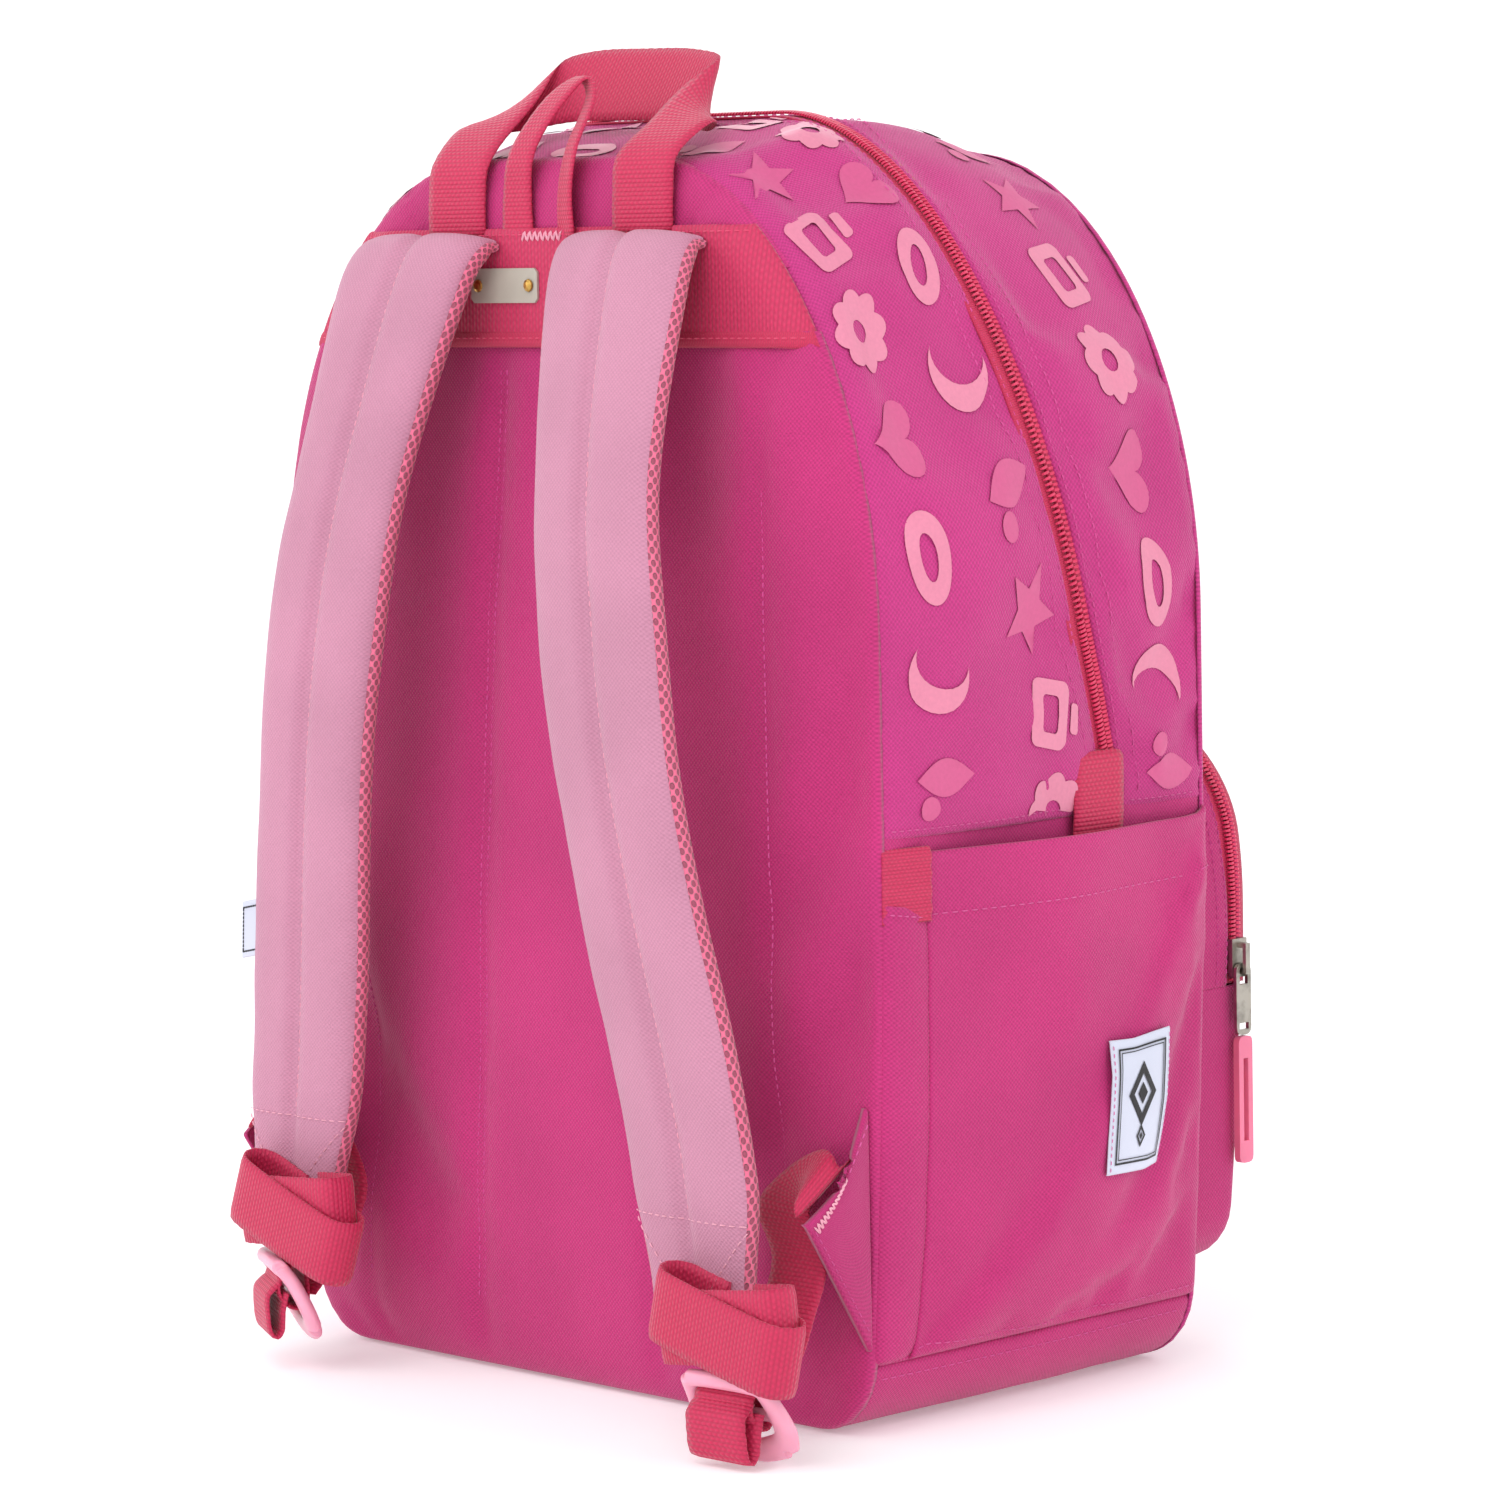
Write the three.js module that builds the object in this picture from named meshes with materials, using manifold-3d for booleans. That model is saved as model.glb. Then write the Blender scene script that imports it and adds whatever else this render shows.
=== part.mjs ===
// School backpack in millimetres, +Z up. The back panel and the shoulder straps face -Y, the
// front pocket faces +Y and the wearer's right side is +X. The origin is the middle of the base.
import * as THREE from "three";
import { mergeVertices } from "three/addons/utils/BufferGeometryUtils.js";
import Module from "manifold-3d";

const wasm = await Module();
wasm.setup();

// ---- Driving dimensions ----
const GAP = 0.4; // clearance between touching pieces
const FABRIC = 2; // lined and lightly padded shell fabric
const WEBBING = 1.8; // thickness of all webbing

const HEIGHT = 430; // back outline: straight top, elliptical shoulders, slightly bowed sides
const HALF_WIDTH = 149;
const BASE_HALF_WIDTH = 142;
const WAIST_Z = 200; // the sides are widest from here up
const TOP_HALF_FLAT = 40;
const SHOULDER_Z = 269;
const SHOULDER_RUN = 215; // length round one shoulder
const BASE_RADIUS = 28;
const Y_BACK = -88.6;
const Y_FRONT = 75;
const CROWN = 14; // how far the top bulges between back and front
const SIDE_BOW = 2; // how far the upper sides bulge
const SIDE_HOLLOW = 5; // how far the side panels sink behind the side pockets

const BASE_SEAM_Z = 25;
const POCKET_SEAM_Z = 205; // the gussets start here, the side panels end here
const HINGE_Z = 250; // the opened front folds down here
const ZIP_LOW_Z = 215;
const ZIP_LOW_Y = 26.1;
const ZIP_BEND_Z = 230; // a row of the zip and its gusset between its low end and the hinge
const ZIP_SWEEP = 46; // how far the zip comes towards the back by the top
const ZIP_HALF = 4; // half the visible zip

const YOKE_Z = 389;
const BAND_LOW_Z = 366;
const BAND_HIGH_Z = 405;
const FOAM = 7;

const PLATE = { width: 34, height: 12, x: -22, z: 386 };

const SIDE_POCKET_TOP_Z = 200;
const SIDE_POCKET_STEP_Y = -72; // behind this the pocket is lower and shows its elastic
const SIDE_POCKET_STEP_Z = 181;
const SIDE_POCKET_FULLNESS = 9;
const LABEL = { width: 31, height: 47, y: 24, z: 104 };
const END_TAB = { y: 16.5, width: 25, top: 222 };

const FRONT_POCKET = { half: 130, low: 30, top: 240, crownRadius: 55, footRadius: 20 };
const FRONT_POCKET_ZIP_Z = 130; // lower ends of the pocket's zip
const FRONT_POCKET_FACE = 121; // y of the fullest point of the face
const FRONT_POCKET_FULL_Z = 160;

const STRAP_WIDTH = 65;
const STRAP_PAD = 8;
const STRAP_MESH = 2.6;
const HANDLE_FOOT = [-92.5, 406.8]; // y and z where the handle and the hang loop leave their seam
const BUCKLE = { width: 35, height: 30, thick: 4, webbing: 25 };

const PULLER = { width: 8, length: 26, strap: 46 };
const SLIDER_Z = { front_pocket: 140, main: 232 }; // middles of the sliders

const MAGENTA = 0xc9247f;
const RED_PINK = 0xdf2a5f;
const PALE_PINK = 0xf2a0bf;
const MESH_PINK = 0xe5789c;
const FOAM_GREY = 0x6f6f74;
const NICKEL = 0xb9b5ac;
const BRASS = 0xb98f3c;
const WHITE = 0xf0f0f2;

// ---- Small helpers ----
const pack = new THREE.Group();
const vec = (x, y, z) => new THREE.Vector3(x, y, z);
const sideName = (side) => (side > 0 ? "right" : "left");
const clamp01 = (t) => Math.min(1, Math.max(0, t));
const smooth = (a, b, t) => THREE.MathUtils.smoothstep(t, a, b);

function steps(from, to, count) {
  return Array.from({ length: count + 1 }, (_, i) => from + ((to - from) * i) / count);
}

function add(name, geometry, color, roughness = 0.85, metalness = 0) {
  const mesh = new THREE.Mesh(
    geometry,
    new THREE.MeshStandardMaterial({ color, roughness, metalness }),
  );
  mesh.name = name;
  pack.add(mesh);
}

// Six times the signed volume of a triangle list decides which way its faces point.
function facingOut(points, triangles) {
  let volume = 0;
  for (const [a, b, c] of triangles) {
    volume += points[a].dot(points[b].clone().cross(points[c]));
  }
  const ordered = volume < 0 ? triangles.map(([a, b, c]) => [a, c, b]) : triangles;
  const geometry = new THREE.BufferGeometry();
  geometry.setAttribute(
    "position",
    new THREE.Float32BufferAttribute(points.flatMap((p) => p.toArray()), 3),
  );
  geometry.setIndex(ordered.flat());
  return geometry;
}

// A closed solid between two grids of points with the same rows and columns.
function gridSolid(outer, inner) {
  const rows = outer.length;
  const cols = outer[0].length;
  const points = [...outer.flat(), ...inner.flat()];
  const at = (layer, i, j) => layer * rows * cols + i * cols + j;
  const triangles = [];
  const quad = (a, b, c, d) => triangles.push([a, b, c], [a, c, d]);
  for (let i = 0; i + 1 < rows; i++) {
    for (let j = 0; j + 1 < cols; j++) {
      quad(at(0, i, j), at(0, i + 1, j), at(0, i + 1, j + 1), at(0, i, j + 1));
      quad(at(1, i, j), at(1, i, j + 1), at(1, i + 1, j + 1), at(1, i + 1, j));
    }
  }
  for (let i = 0; i + 1 < rows; i++) {
    const j = cols - 1;
    quad(at(0, i, 0), at(1, i, 0), at(1, i + 1, 0), at(0, i + 1, 0));
    quad(at(0, i, j), at(0, i + 1, j), at(1, i + 1, j), at(1, i, j));
  }
  for (let j = 0; j + 1 < cols; j++) {
    const i = rows - 1;
    quad(at(0, 0, j), at(0, 0, j + 1), at(1, 0, j + 1), at(1, 0, j));
    quad(at(0, i, j), at(1, i, j), at(1, i, j + 1), at(0, i, j + 1));
  }
  return facingOut(points, triangles);
}

// A sheet whose outer face is surface(u, v); its thickness grows along the side of the surface
// that faces `core`, a point inside the bag.
function sheet(surface, us, vsOf, thickness, core) {
  const h = 0.05;
  const outer = [];
  const inner = [];
  for (const u of us) {
    const vs = vsOf(u);
    outer.push(vs.map((v) => surface(u, v)));
    inner.push(
      vs.map((v) => {
        const p = surface(u, v);
        const du = surface(u + h, v).sub(surface(u - h, v));
        const dv = surface(u, v + h).sub(surface(u, v - h));
        const n = du.cross(dv).normalize();
        if (n.dot(core(p)) < 0) n.negate();
        return p.addScaledVector(n, thickness);
      }),
    );
  }
  return gridSolid(outer, inner);
}

// A flat band along a path of points, with the direction across its width at each point.
function ribbon(path, across, width, thickness) {
  const outer = [];
  const inner = [];
  path.forEach((p, i) => {
    const before = path[Math.max(0, i - 1)];
    const after = path[Math.min(path.length - 1, i + 1)];
    const side = across(i / (path.length - 1)).clone().normalize();
    const tangent = after.clone().sub(before).normalize();
    const normal = tangent.clone().cross(side).normalize();
    const half = normal.multiplyScalar(thickness / 2);
    const ends = [-width / 2, width / 2].map((w) => p.clone().addScaledVector(side, w));
    outer.push(ends.map((e) => e.clone().add(half)));
    inner.push(ends.map((e) => e.clone().sub(half)));
  });
  return gridSolid(outer, inner);
}

function curvePoints(points, count) {
  return new THREE.CatmullRomCurve3(points, false, "centripetal").getSpacedPoints(count);
}

function shapeOf(points) {
  return new THREE.Shape(points.map(([x, y]) => new THREE.Vector2(x, y)));
}

// A flat outline in X and Z, extruded along Y from yLow to yHigh.
function slab(shape, yLow, yHigh, curveSegments = 8) {
  const geometry = new THREE.ExtrudeGeometry(shape, {
    depth: yHigh - yLow,
    bevelEnabled: false,
    curveSegments,
  });
  return geometry.rotateX(Math.PI / 2).translate(0, yHigh, 0);
}

function manifoldOf(geometry) {
  const bare = geometry.index ? geometry.toNonIndexed() : geometry.clone();
  bare.deleteAttribute("normal");
  bare.deleteAttribute("uv");
  const merged = mergeVertices(bare, 1e-3);
  return new wasm.Manifold(
    new wasm.Mesh({
      numProp: 3,
      vertProperties: merged.attributes.position.array,
      triVerts: new Uint32Array(merged.index.array),
    }),
  );
}

function geometryOf(manifold) {
  const mesh = manifold.getMesh();
  const geometry = new THREE.BufferGeometry();
  geometry.setAttribute("position", new THREE.Float32BufferAttribute(mesh.vertProperties, 3));
  geometry.setIndex([...mesh.triVerts]);
  return geometry;
}

// ---- The bag's outline and shell surface ----
const SIDE_START = TOP_HALF_FLAT + SHOULDER_RUN;
const CORNER_START = SIDE_START + SHOULDER_Z - BASE_RADIUS;
const CORNER_RUN = (Math.PI / 2) * BASE_RADIUS;
const HALF_RUN = CORNER_START + CORNER_RUN + BASE_HALF_WIDTH - BASE_RADIUS;

function halfWidth(z) {
  const rise = clamp01((z - BASE_RADIUS) / (WAIST_Z - BASE_RADIUS));
  return BASE_HALF_WIDTH + (HALF_WIDTH - BASE_HALF_WIDTH) * Math.sin((Math.PI / 2) * rise);
}

// Point [x, z] at distance d round the outline from the middle of the top, + towards the right.
function outline(d) {
  const wrapped = d > HALF_RUN ? d - 2 * HALF_RUN : d;
  const side = Math.sign(wrapped) || 1;
  const run = Math.abs(wrapped);
  if (run <= TOP_HALF_FLAT) return [wrapped, HEIGHT];
  if (run <= SIDE_START) {
    const angle = (Math.PI / 2) * (1 - (run - TOP_HALF_FLAT) / SHOULDER_RUN);
    const x = TOP_HALF_FLAT + (HALF_WIDTH - TOP_HALF_FLAT) * Math.cos(angle);
    return [side * x, SHOULDER_Z + (HEIGHT - SHOULDER_Z) * Math.sin(angle)];
  }
  if (run <= CORNER_START) {
    const z = SHOULDER_Z - (run - SIDE_START);
    return [side * halfWidth(z), z];
  }
  const centre = BASE_HALF_WIDTH - BASE_RADIUS;
  if (run <= CORNER_START + CORNER_RUN) {
    const angle = (run - CORNER_START) / BASE_RADIUS;
    return [
      side * (centre + BASE_RADIUS * Math.cos(angle)),
      BASE_RADIUS - BASE_RADIUS * Math.sin(angle),
    ];
  }
  return [side * (HALF_RUN - run), 0];
}

const runAtHeight = (z) => SIDE_START + SHOULDER_Z - z;
const fullness = (y) => Math.sin(Math.PI * clamp01((y - Y_BACK) / (Y_FRONT - Y_BACK)));

// Outer face of the shell at distance d round the outline and depth y.
function shell(d, y) {
  const [x, z] = outline(d);
  const lift = CROWN * clamp01((z - SHOULDER_Z) / (HEIGHT - SHOULDER_Z));
  const sink = SIDE_HOLLOW * smooth(BASE_SEAM_Z, 70, z) * (1 - smooth(160, POCKET_SEAM_Z, z));
  const bow = SIDE_BOW * smooth(POCKET_SEAM_Z, 250, z) - sink;
  return vec(x + Math.sign(x) * bow * fullness(y), y, z + lift * fullness(y));
}

const towardsAxis = (p) => vec(-p.x, 0, 215 - p.z);

function zipY(d) {
  const rise = clamp01((outline(d)[1] - ZIP_LOW_Z) / (HEIGHT - ZIP_LOW_Z));
  return ZIP_LOW_Y - ZIP_SWEEP * (1 - (1 - rise) ** 1.4);
}

// Stations round the arch between two heights on either side, finer round the shoulders.
function archRuns(z, sideSteps = 2) {
  const end = runAtHeight(z);
  const right = [
    ...steps(TOP_HALF_FLAT, SIDE_START, 10),
    ...steps(SIDE_START, end, sideSteps).slice(1),
  ];
  return [...right.map((d) => -d).reverse(), ...right];
}

function outlineShape(inset, from = -HALF_RUN, to = HALF_RUN) {
  const marks = [
    0,
    TOP_HALF_FLAT,
    ...steps(TOP_HALF_FLAT, SIDE_START, 10).slice(1),
    runAtHeight(200),
    runAtHeight(120),
    CORNER_START,
    ...steps(CORNER_START, CORNER_START + CORNER_RUN, 4).slice(1),
  ];
  const runs = [...marks.slice(1).map((d) => -d).reverse(), ...marks];
  const inside = runs.filter((d) => d > from && d < to);
  const ends = from > -HALF_RUN ? [from, ...inside, to] : inside;
  const scale = 1 - inset / HALF_WIDTH;
  const scaleZ = 1 - (2 * inset) / HEIGHT;
  return shapeOf(ends.map((d) => outline(d)).map(([x, z]) => [x * scale, inset + z * scaleZ]));
}

// The outline below a level line, closed along that line.
function lowerShape(inset, z) {
  const run = runAtHeight(z);
  const marks = [
    run,
    runAtHeight(Math.min(z - 10, 200)),
    runAtHeight(120),
    ...steps(CORNER_START, CORNER_START + CORNER_RUN, 4),
  ];
  const points = [...marks, ...marks.map((d) => -d).reverse()].map((d) => outline(d));
  const scale = 1 - inset / HALF_WIDTH;
  return shapeOf(points.map(([x, h]) => [x * scale, Math.max(h, inset)]));
}

// ---- Back ----
function addBack() {
  const yokeRun = shoulderRun(YOKE_Z);
  const backY = Y_BACK - GAP;
  add("back_yoke", slab(outlineShape(0, -yokeRun, yokeRun), backY - FABRIC, backY), MAGENTA);
  add("back_panel", slab(backLower(), backY - FABRIC, backY), MAGENTA);
  const foam = outlineShape(FABRIC + 1);
  add("back_foam", slab(foam, Y_BACK + GAP, Y_BACK + GAP + FOAM), FOAM_GREY, 0.95);
  const [halfLow] = outline(shoulderRun(BAND_LOW_Z));
  const [halfHigh] = outline(shoulderRun(BAND_HIGH_Z));
  const band = shapeOf([
    [-halfLow, BAND_LOW_Z],
    [halfLow, BAND_LOW_Z],
    [halfHigh, BAND_HIGH_Z],
    [-halfHigh, BAND_HIGH_Z],
  ]);
  const bandY = backY - FABRIC - GAP;
  add("anchor_band", slab(band, bandY - WEBBING, bandY), RED_PINK);
  addNamePlate(bandY - WEBBING - GAP);
}

// Distance round the outline where the shoulder reaches height z.
function shoulderRun(z) {
  const angle = Math.asin((z - SHOULDER_Z) / (HEIGHT - SHOULDER_Z));
  return TOP_HALF_FLAT + SHOULDER_RUN * (1 - angle / (Math.PI / 2));
}

// The padded back below the yoke.
function backLower() {
  const top = shoulderRun(YOKE_Z - GAP);
  const marks = [
    top,
    ...steps(top, SIDE_START, 6).slice(1),
    runAtHeight(200),
    runAtHeight(120),
    ...steps(CORNER_START, CORNER_START + CORNER_RUN, 4),
  ];
  return shapeOf([...marks, ...marks.map((d) => -d).reverse()].map((d) => outline(d)));
}

function addNamePlate(y) {
  const thickness = 0.9;
  const cut = 1.5; // the plate's corners are cut off by this much
  const w = PLATE.width / 2;
  const h = PLATE.height / 2;
  const corners = [
    [w, h],
    [-w, h],
    [-w, -h],
    [w, -h],
  ];
  const outlinePoints = corners.flatMap(([x, z]) => {
    const alongX = [x - Math.sign(x) * cut, z];
    const alongZ = [x, z - Math.sign(z) * cut];
    return x * z > 0 ? [alongZ, alongX] : [alongX, alongZ];
  });
  const plate = slab(shapeOf(outlinePoints), y - thickness, y).translate(PLATE.x, 0, PLATE.z);
  add("name_plate", plate, NICKEL, 0.35, 0.9);
  const dome = [
    [0, 0],
    [2.3, 0],
    [2.1, 0.5],
    [1.2, 1],
    [0, 1.1],
  ].map(([radius, rise]) => new THREE.Vector2(radius, rise));
  for (const side of [-1, 1]) {
    const rivet = new THREE.LatheGeometry(dome, 10).rotateX(Math.PI);
    rivet.translate(PLATE.x + side * (w - 4), y - thickness - GAP, PLATE.z);
    add(`name_plate_rivet_${sideName(side)}`, rivet, BRASS, 0.35, 0.9);
  }
}

// ---- Gussets, sides, base and main zip ----
function addShell() {
  const core = towardsAxis;
  const rear = (d) => steps(Y_BACK, zipY(d) - ZIP_HALF - GAP, 4);
  add("rear_gusset", sheet(shell, archRuns(POCKET_SEAM_Z), rear, FABRIC, core), MAGENTA);
  const front = (d) => steps(zipY(d) + ZIP_HALF + GAP, Y_FRONT, 4);
  const flapRuns = archRuns(HINGE_Z + GAP);
  add("front_gusset", sheet(shell, flapRuns, front, FABRIC, core), MAGENTA);

  const seam = runAtHeight(BASE_SEAM_Z);
  const baseRuns = [
    seam,
    ...steps(CORNER_START + 4, CORNER_START + CORNER_RUN, 4),
    HALF_RUN,
    ...steps(2 * HALF_RUN - CORNER_START - CORNER_RUN, 2 * HALF_RUN - CORNER_START - 4, 4),
    2 * HALF_RUN - seam,
  ];
  const depth = () => steps(Y_BACK, Y_FRONT, 4);
  add("base_panel", sheet(shell, baseRuns, depth, FABRIC, core), MAGENTA);
  const boardHalf = BASE_HALF_WIDTH - BASE_RADIUS;
  const board = new THREE.BoxGeometry(2 * boardHalf, Y_FRONT - Y_BACK - 20, 2);
  board.translate(0, (Y_FRONT + Y_BACK) / 2 + 3, FABRIC + GAP + 1);
  add("base_board", board, FOAM_GREY, 0.9);

  for (const side of [-1, 1]) {
    const name = sideName(side);
    const down = (low, high, count) => steps(runAtHeight(low), runAtHeight(high), count);
    const sideRuns = down(BASE_SEAM_Z + GAP, POCKET_SEAM_Z - GAP, 7).map((d) => side * d);
    const sidePanel = sheet(shell, sideRuns, depth, FABRIC, core);
    add(`side_panel_${name}`, sidePanel, MAGENTA);
    const endRuns = [POCKET_SEAM_Z, ZIP_LOW_Z, ZIP_BEND_Z, HINGE_Z - GAP];
    const endStations = endRuns.map((z) => side * runAtHeight(z));
    add(`front_gusset_end_${name}`, sheet(shell, endStations, front, FABRIC, core), MAGENTA);
  }
}

function zipSurface(d, across) {
  const p = shell(d, zipY(d) + across);
  return p.addScaledVector(towardsAxis(p).setY(0).normalize(), 0.3);
}

// The rear half of the zip carries the whole closed chain below the hinge line.
function addMainZip() {
  const thickness = FABRIC - 0.4;
  const hingeRun = runAtHeight(HINGE_Z);
  const low = [hingeRun + 1, runAtHeight(ZIP_BEND_Z), runAtHeight(ZIP_LOW_Z)];
  const rearStations = [...low.map((d) => -d).reverse(), ...archRuns(HINGE_Z), ...low];
  const rearSpan = (d) => [-ZIP_HALF, Math.abs(d) > hingeRun + 0.5 ? ZIP_HALF : -GAP / 2];
  const rear = sheet(zipSurface, rearStations, rearSpan, thickness, towardsAxis);
  add("main_zip_rear", rear, RED_PINK, 0.6);
  const frontSpan = () => [GAP / 2, ZIP_HALF];
  const front = sheet(zipSurface, archRuns(HINGE_Z + GAP), frontSpan, thickness, towardsAxis);
  add("main_zip_front", front, RED_PINK, 0.6);

  const tabHeight = END_TAB.top - POCKET_SEAM_Z + 4;
  for (const side of [-1, 1]) {
    const x = HALF_WIDTH + 1.4;
    const tab = new THREE.BoxGeometry(WEBBING, END_TAB.width, tabHeight);
    tab.translate(side * (x + WEBBING / 2), END_TAB.y, END_TAB.top - tabHeight / 2);
    add(`zip_end_tab_${sideName(side)}`, tab, RED_PINK);
  }
}

// ---- Side pockets ----
function pocketSurface(side) {
  return (z, y) => {
    const ramp = smooth(BASE_SEAM_Z, 75, z);
    const x = halfWidth(z) + FABRIC + GAP + SIDE_POCKET_FULLNESS * ramp * fullness(y);
    return vec(side * x, y, z);
  };
}

function addSidePockets() {
  const thickness = 1.6;
  const core = towardsAxis;
  const y0 = Y_BACK + 1;
  const y1 = Y_FRONT - 1;
  const columns = [y0, SIDE_POCKET_STEP_Y - 1, SIDE_POCKET_STEP_Y + 1, -35, 0, 35, y1];
  for (const side of [-1, 1]) {
    const surface = pocketSurface(side);
    const across = (y, t) => {
      const top = y < SIDE_POCKET_STEP_Y ? SIDE_POCKET_STEP_Z : SIDE_POCKET_TOP_Z;
      return surface(BASE_SEAM_Z + GAP + t * (top - BASE_SEAM_Z - GAP), y);
    };
    const heights = () => steps(0, 1, 6);
    const pocket = sheet(across, columns, heights, thickness, core);
    add(`side_pocket_${sideName(side)}`, pocket, MAGENTA);

    const elasticRows = steps(SIDE_POCKET_STEP_Z + GAP, SIDE_POCKET_TOP_Z - GAP, 2);
    const elasticSpan = () => [y0, SIDE_POCKET_STEP_Y - 1 - GAP];
    const lower = (z, y) => surface(z, y).add(vec(-side * 0.5, 0, 0));
    const elastic = sheet(lower, elasticRows, elasticSpan, 1.2, core);
    add(`side_pocket_elastic_${sideName(side)}`, elastic, RED_PINK);

    const labelRows = steps(LABEL.z - LABEL.height / 2, LABEL.z + LABEL.height / 2, 3);
    const labelSpan = () => steps(LABEL.y - LABEL.width / 2, LABEL.y + LABEL.width / 2, 2);
    const proud = (z, y) => surface(z, y).add(vec(side * 1.3, 0, 0));
    const label = sheet(proud, labelRows, labelSpan, 0.7, core);
    add(`woven_label_${sideName(side)}`, label, WHITE);
  }
}

// ---- Front panel and front pocket ----
function faceY(z) {
  const below = clamp01((FRONT_POCKET_FULL_Z - z) / (FRONT_POCKET_FULL_Z - FRONT_POCKET.low));
  const above = clamp01((z - FRONT_POCKET_FULL_Z) / (FRONT_POCKET.top - FRONT_POCKET_FULL_Z));
  return FRONT_POCKET_FACE - 9 * below * below - 22 * above * above;
}

// Where the pocket's walls end behind its face.
const faceBack = (z) => faceY(z) - FABRIC - 2 * GAP;

function pocketHalf(z) {
  const { half, low, top, crownRadius: crown, footRadius: foot } = FRONT_POCKET;
  if (z > top - crown) return half - crown + Math.sqrt(crown ** 2 - (z - top + crown) ** 2);
  if (z < low + foot) return half - foot + Math.sqrt(foot ** 2 - (low + foot - z) ** 2);
  return half;
}

const POCKET_TOP_FLAT = FRONT_POCKET.half - FRONT_POCKET.crownRadius;
const POCKET_CROWN_RUN = (Math.PI / 2) * FRONT_POCKET.crownRadius;
const POCKET_SIDE = FRONT_POCKET.top - FRONT_POCKET.crownRadius;
const POCKET_FOOT = FRONT_POCKET.low + FRONT_POCKET.footRadius;
const POCKET_FOOT_RUN = (Math.PI / 2) * FRONT_POCKET.footRadius;

// Point [x, z] at distance d round the front pocket from the middle of its top.
function pocketOutline(d) {
  const { half, low, top, crownRadius, footRadius } = FRONT_POCKET;
  const side = Math.sign(d) || 1;
  let run = Math.abs(d);
  if (run <= POCKET_TOP_FLAT) return [d, top];
  run -= POCKET_TOP_FLAT;
  if (run <= POCKET_CROWN_RUN) {
    const a = run / crownRadius;
    const x = POCKET_TOP_FLAT + crownRadius * Math.sin(a);
    return [side * x, POCKET_SIDE + crownRadius * Math.cos(a)];
  }
  run -= POCKET_CROWN_RUN;
  if (run <= POCKET_SIDE - POCKET_FOOT) return [side * half, POCKET_SIDE - run];
  run -= POCKET_SIDE - POCKET_FOOT;
  if (run <= POCKET_FOOT_RUN) {
    const a = run / footRadius;
    const x = half - footRadius * (1 - Math.cos(a));
    return [side * x, POCKET_FOOT - footRadius * Math.sin(a)];
  }
  run -= POCKET_FOOT_RUN;
  return [side * (half - footRadius - run), low];
}

function addFront() {
  const y = Y_FRONT + GAP;
  add("front_panel_lower", slab(lowerShape(0, HINGE_Z - GAP), y, y + FABRIC), MAGENTA);
  const top = runAtHeight(HINGE_Z + GAP);
  add("front_panel_upper", slab(outlineShape(0, -top, top), y, y + FABRIC), MAGENTA);
}

function addFrontPocket() {
  const rootY = Y_FRONT + FABRIC + 2 * GAP;
  const core = (p) => vec(-p.x, 0, 130 - p.z);
  const wall = (d, y) => {
    const [x, z] = pocketOutline(d);
    return vec(x, y, z);
  };
  const rim = (d) => faceBack(pocketOutline(d)[1]);
  const sideRun = (z) => POCKET_TOP_FLAT + POCKET_CROWN_RUN + POCKET_SIDE - z;
  const zipEnd = sideRun(FRONT_POCKET_ZIP_Z + GAP);
  const right = [
    ...steps(POCKET_TOP_FLAT, POCKET_TOP_FLAT + POCKET_CROWN_RUN, 5),
    zipEnd,
  ];
  const arch = [...right.map((d) => -d).reverse(), ...right];

  const gussetSpan = (d) => [rootY, rim(d) - 2 * ZIP_HALF - GAP];
  add("front_pocket_gusset", sheet(wall, arch, gussetSpan, FABRIC, core), MAGENTA);
  const rearSpan = (d) => [rim(d) - 2 * ZIP_HALF, rim(d) - ZIP_HALF - GAP / 2];
  add("front_pocket_zip_rear", sheet(wall, arch, rearSpan, FABRIC, core), RED_PINK, 0.6);
  const frontSpan = (d) => [rim(d) - ZIP_HALF + GAP / 2, rim(d)];
  add("front_pocket_zip_front", sheet(wall, arch, frontSpan, FABRIC, core), RED_PINK, 0.6);

  const footStart = sideRun(POCKET_FOOT);
  const footEnd = footStart + POCKET_FOOT_RUN;
  const lowEnd = footEnd + FRONT_POCKET.half - FRONT_POCKET.footRadius;
  const lowRight = [sideRun(FRONT_POCKET_ZIP_Z - GAP), ...steps(footStart, footEnd, 3), lowEnd];
  const mirrored = lowRight.slice(0, -1).map((d) => 2 * lowEnd - d).reverse();
  const lowWall = (d, y) => {
    const p = wall(d > lowEnd ? 2 * lowEnd - d : d, y);
    return d > lowEnd ? vec(-p.x, p.y, p.z) : p;
  };
  const lowSpan = (d) => [rootY, rim(d > lowEnd ? 2 * lowEnd - d : d)];
  const lowRuns = [...lowRight, ...mirrored];
  add("front_pocket_base", sheet(lowWall, lowRuns, lowSpan, FABRIC, core), MAGENTA);

  const inwards = () => vec(0, -1, 0);
  const face = (z, t) => vec(t * pocketHalf(z), faceY(z) + 3 * (1 - t * t), z);
  const across = () => steps(-1, 1, 6);
  const { crownRadius, footRadius, low, top } = FRONT_POCKET;
  const upperRows = [
    FRONT_POCKET_ZIP_Z + GAP,
    FRONT_POCKET_FULL_Z,
    ...steps(0, 1, 6).map((t) => top - crownRadius + crownRadius * Math.sin((Math.PI / 2) * t)),
  ];
  upperRows[upperRows.length - 1] = top - 0.2;
  add("front_pocket_face_upper", sheet(face, upperRows, across, FABRIC, inwards), MAGENTA);
  const lowerRows = [
    ...steps(1, 0, 4).map((t) => low + footRadius * (1 - Math.sin((Math.PI / 2) * t))),
    90,
    FRONT_POCKET_ZIP_Z - GAP,
  ];
  lowerRows[0] = low + 0.2;
  add("front_pocket_face_lower", sheet(face, lowerRows, across, FABRIC, inwards), MAGENTA);
}

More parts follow.
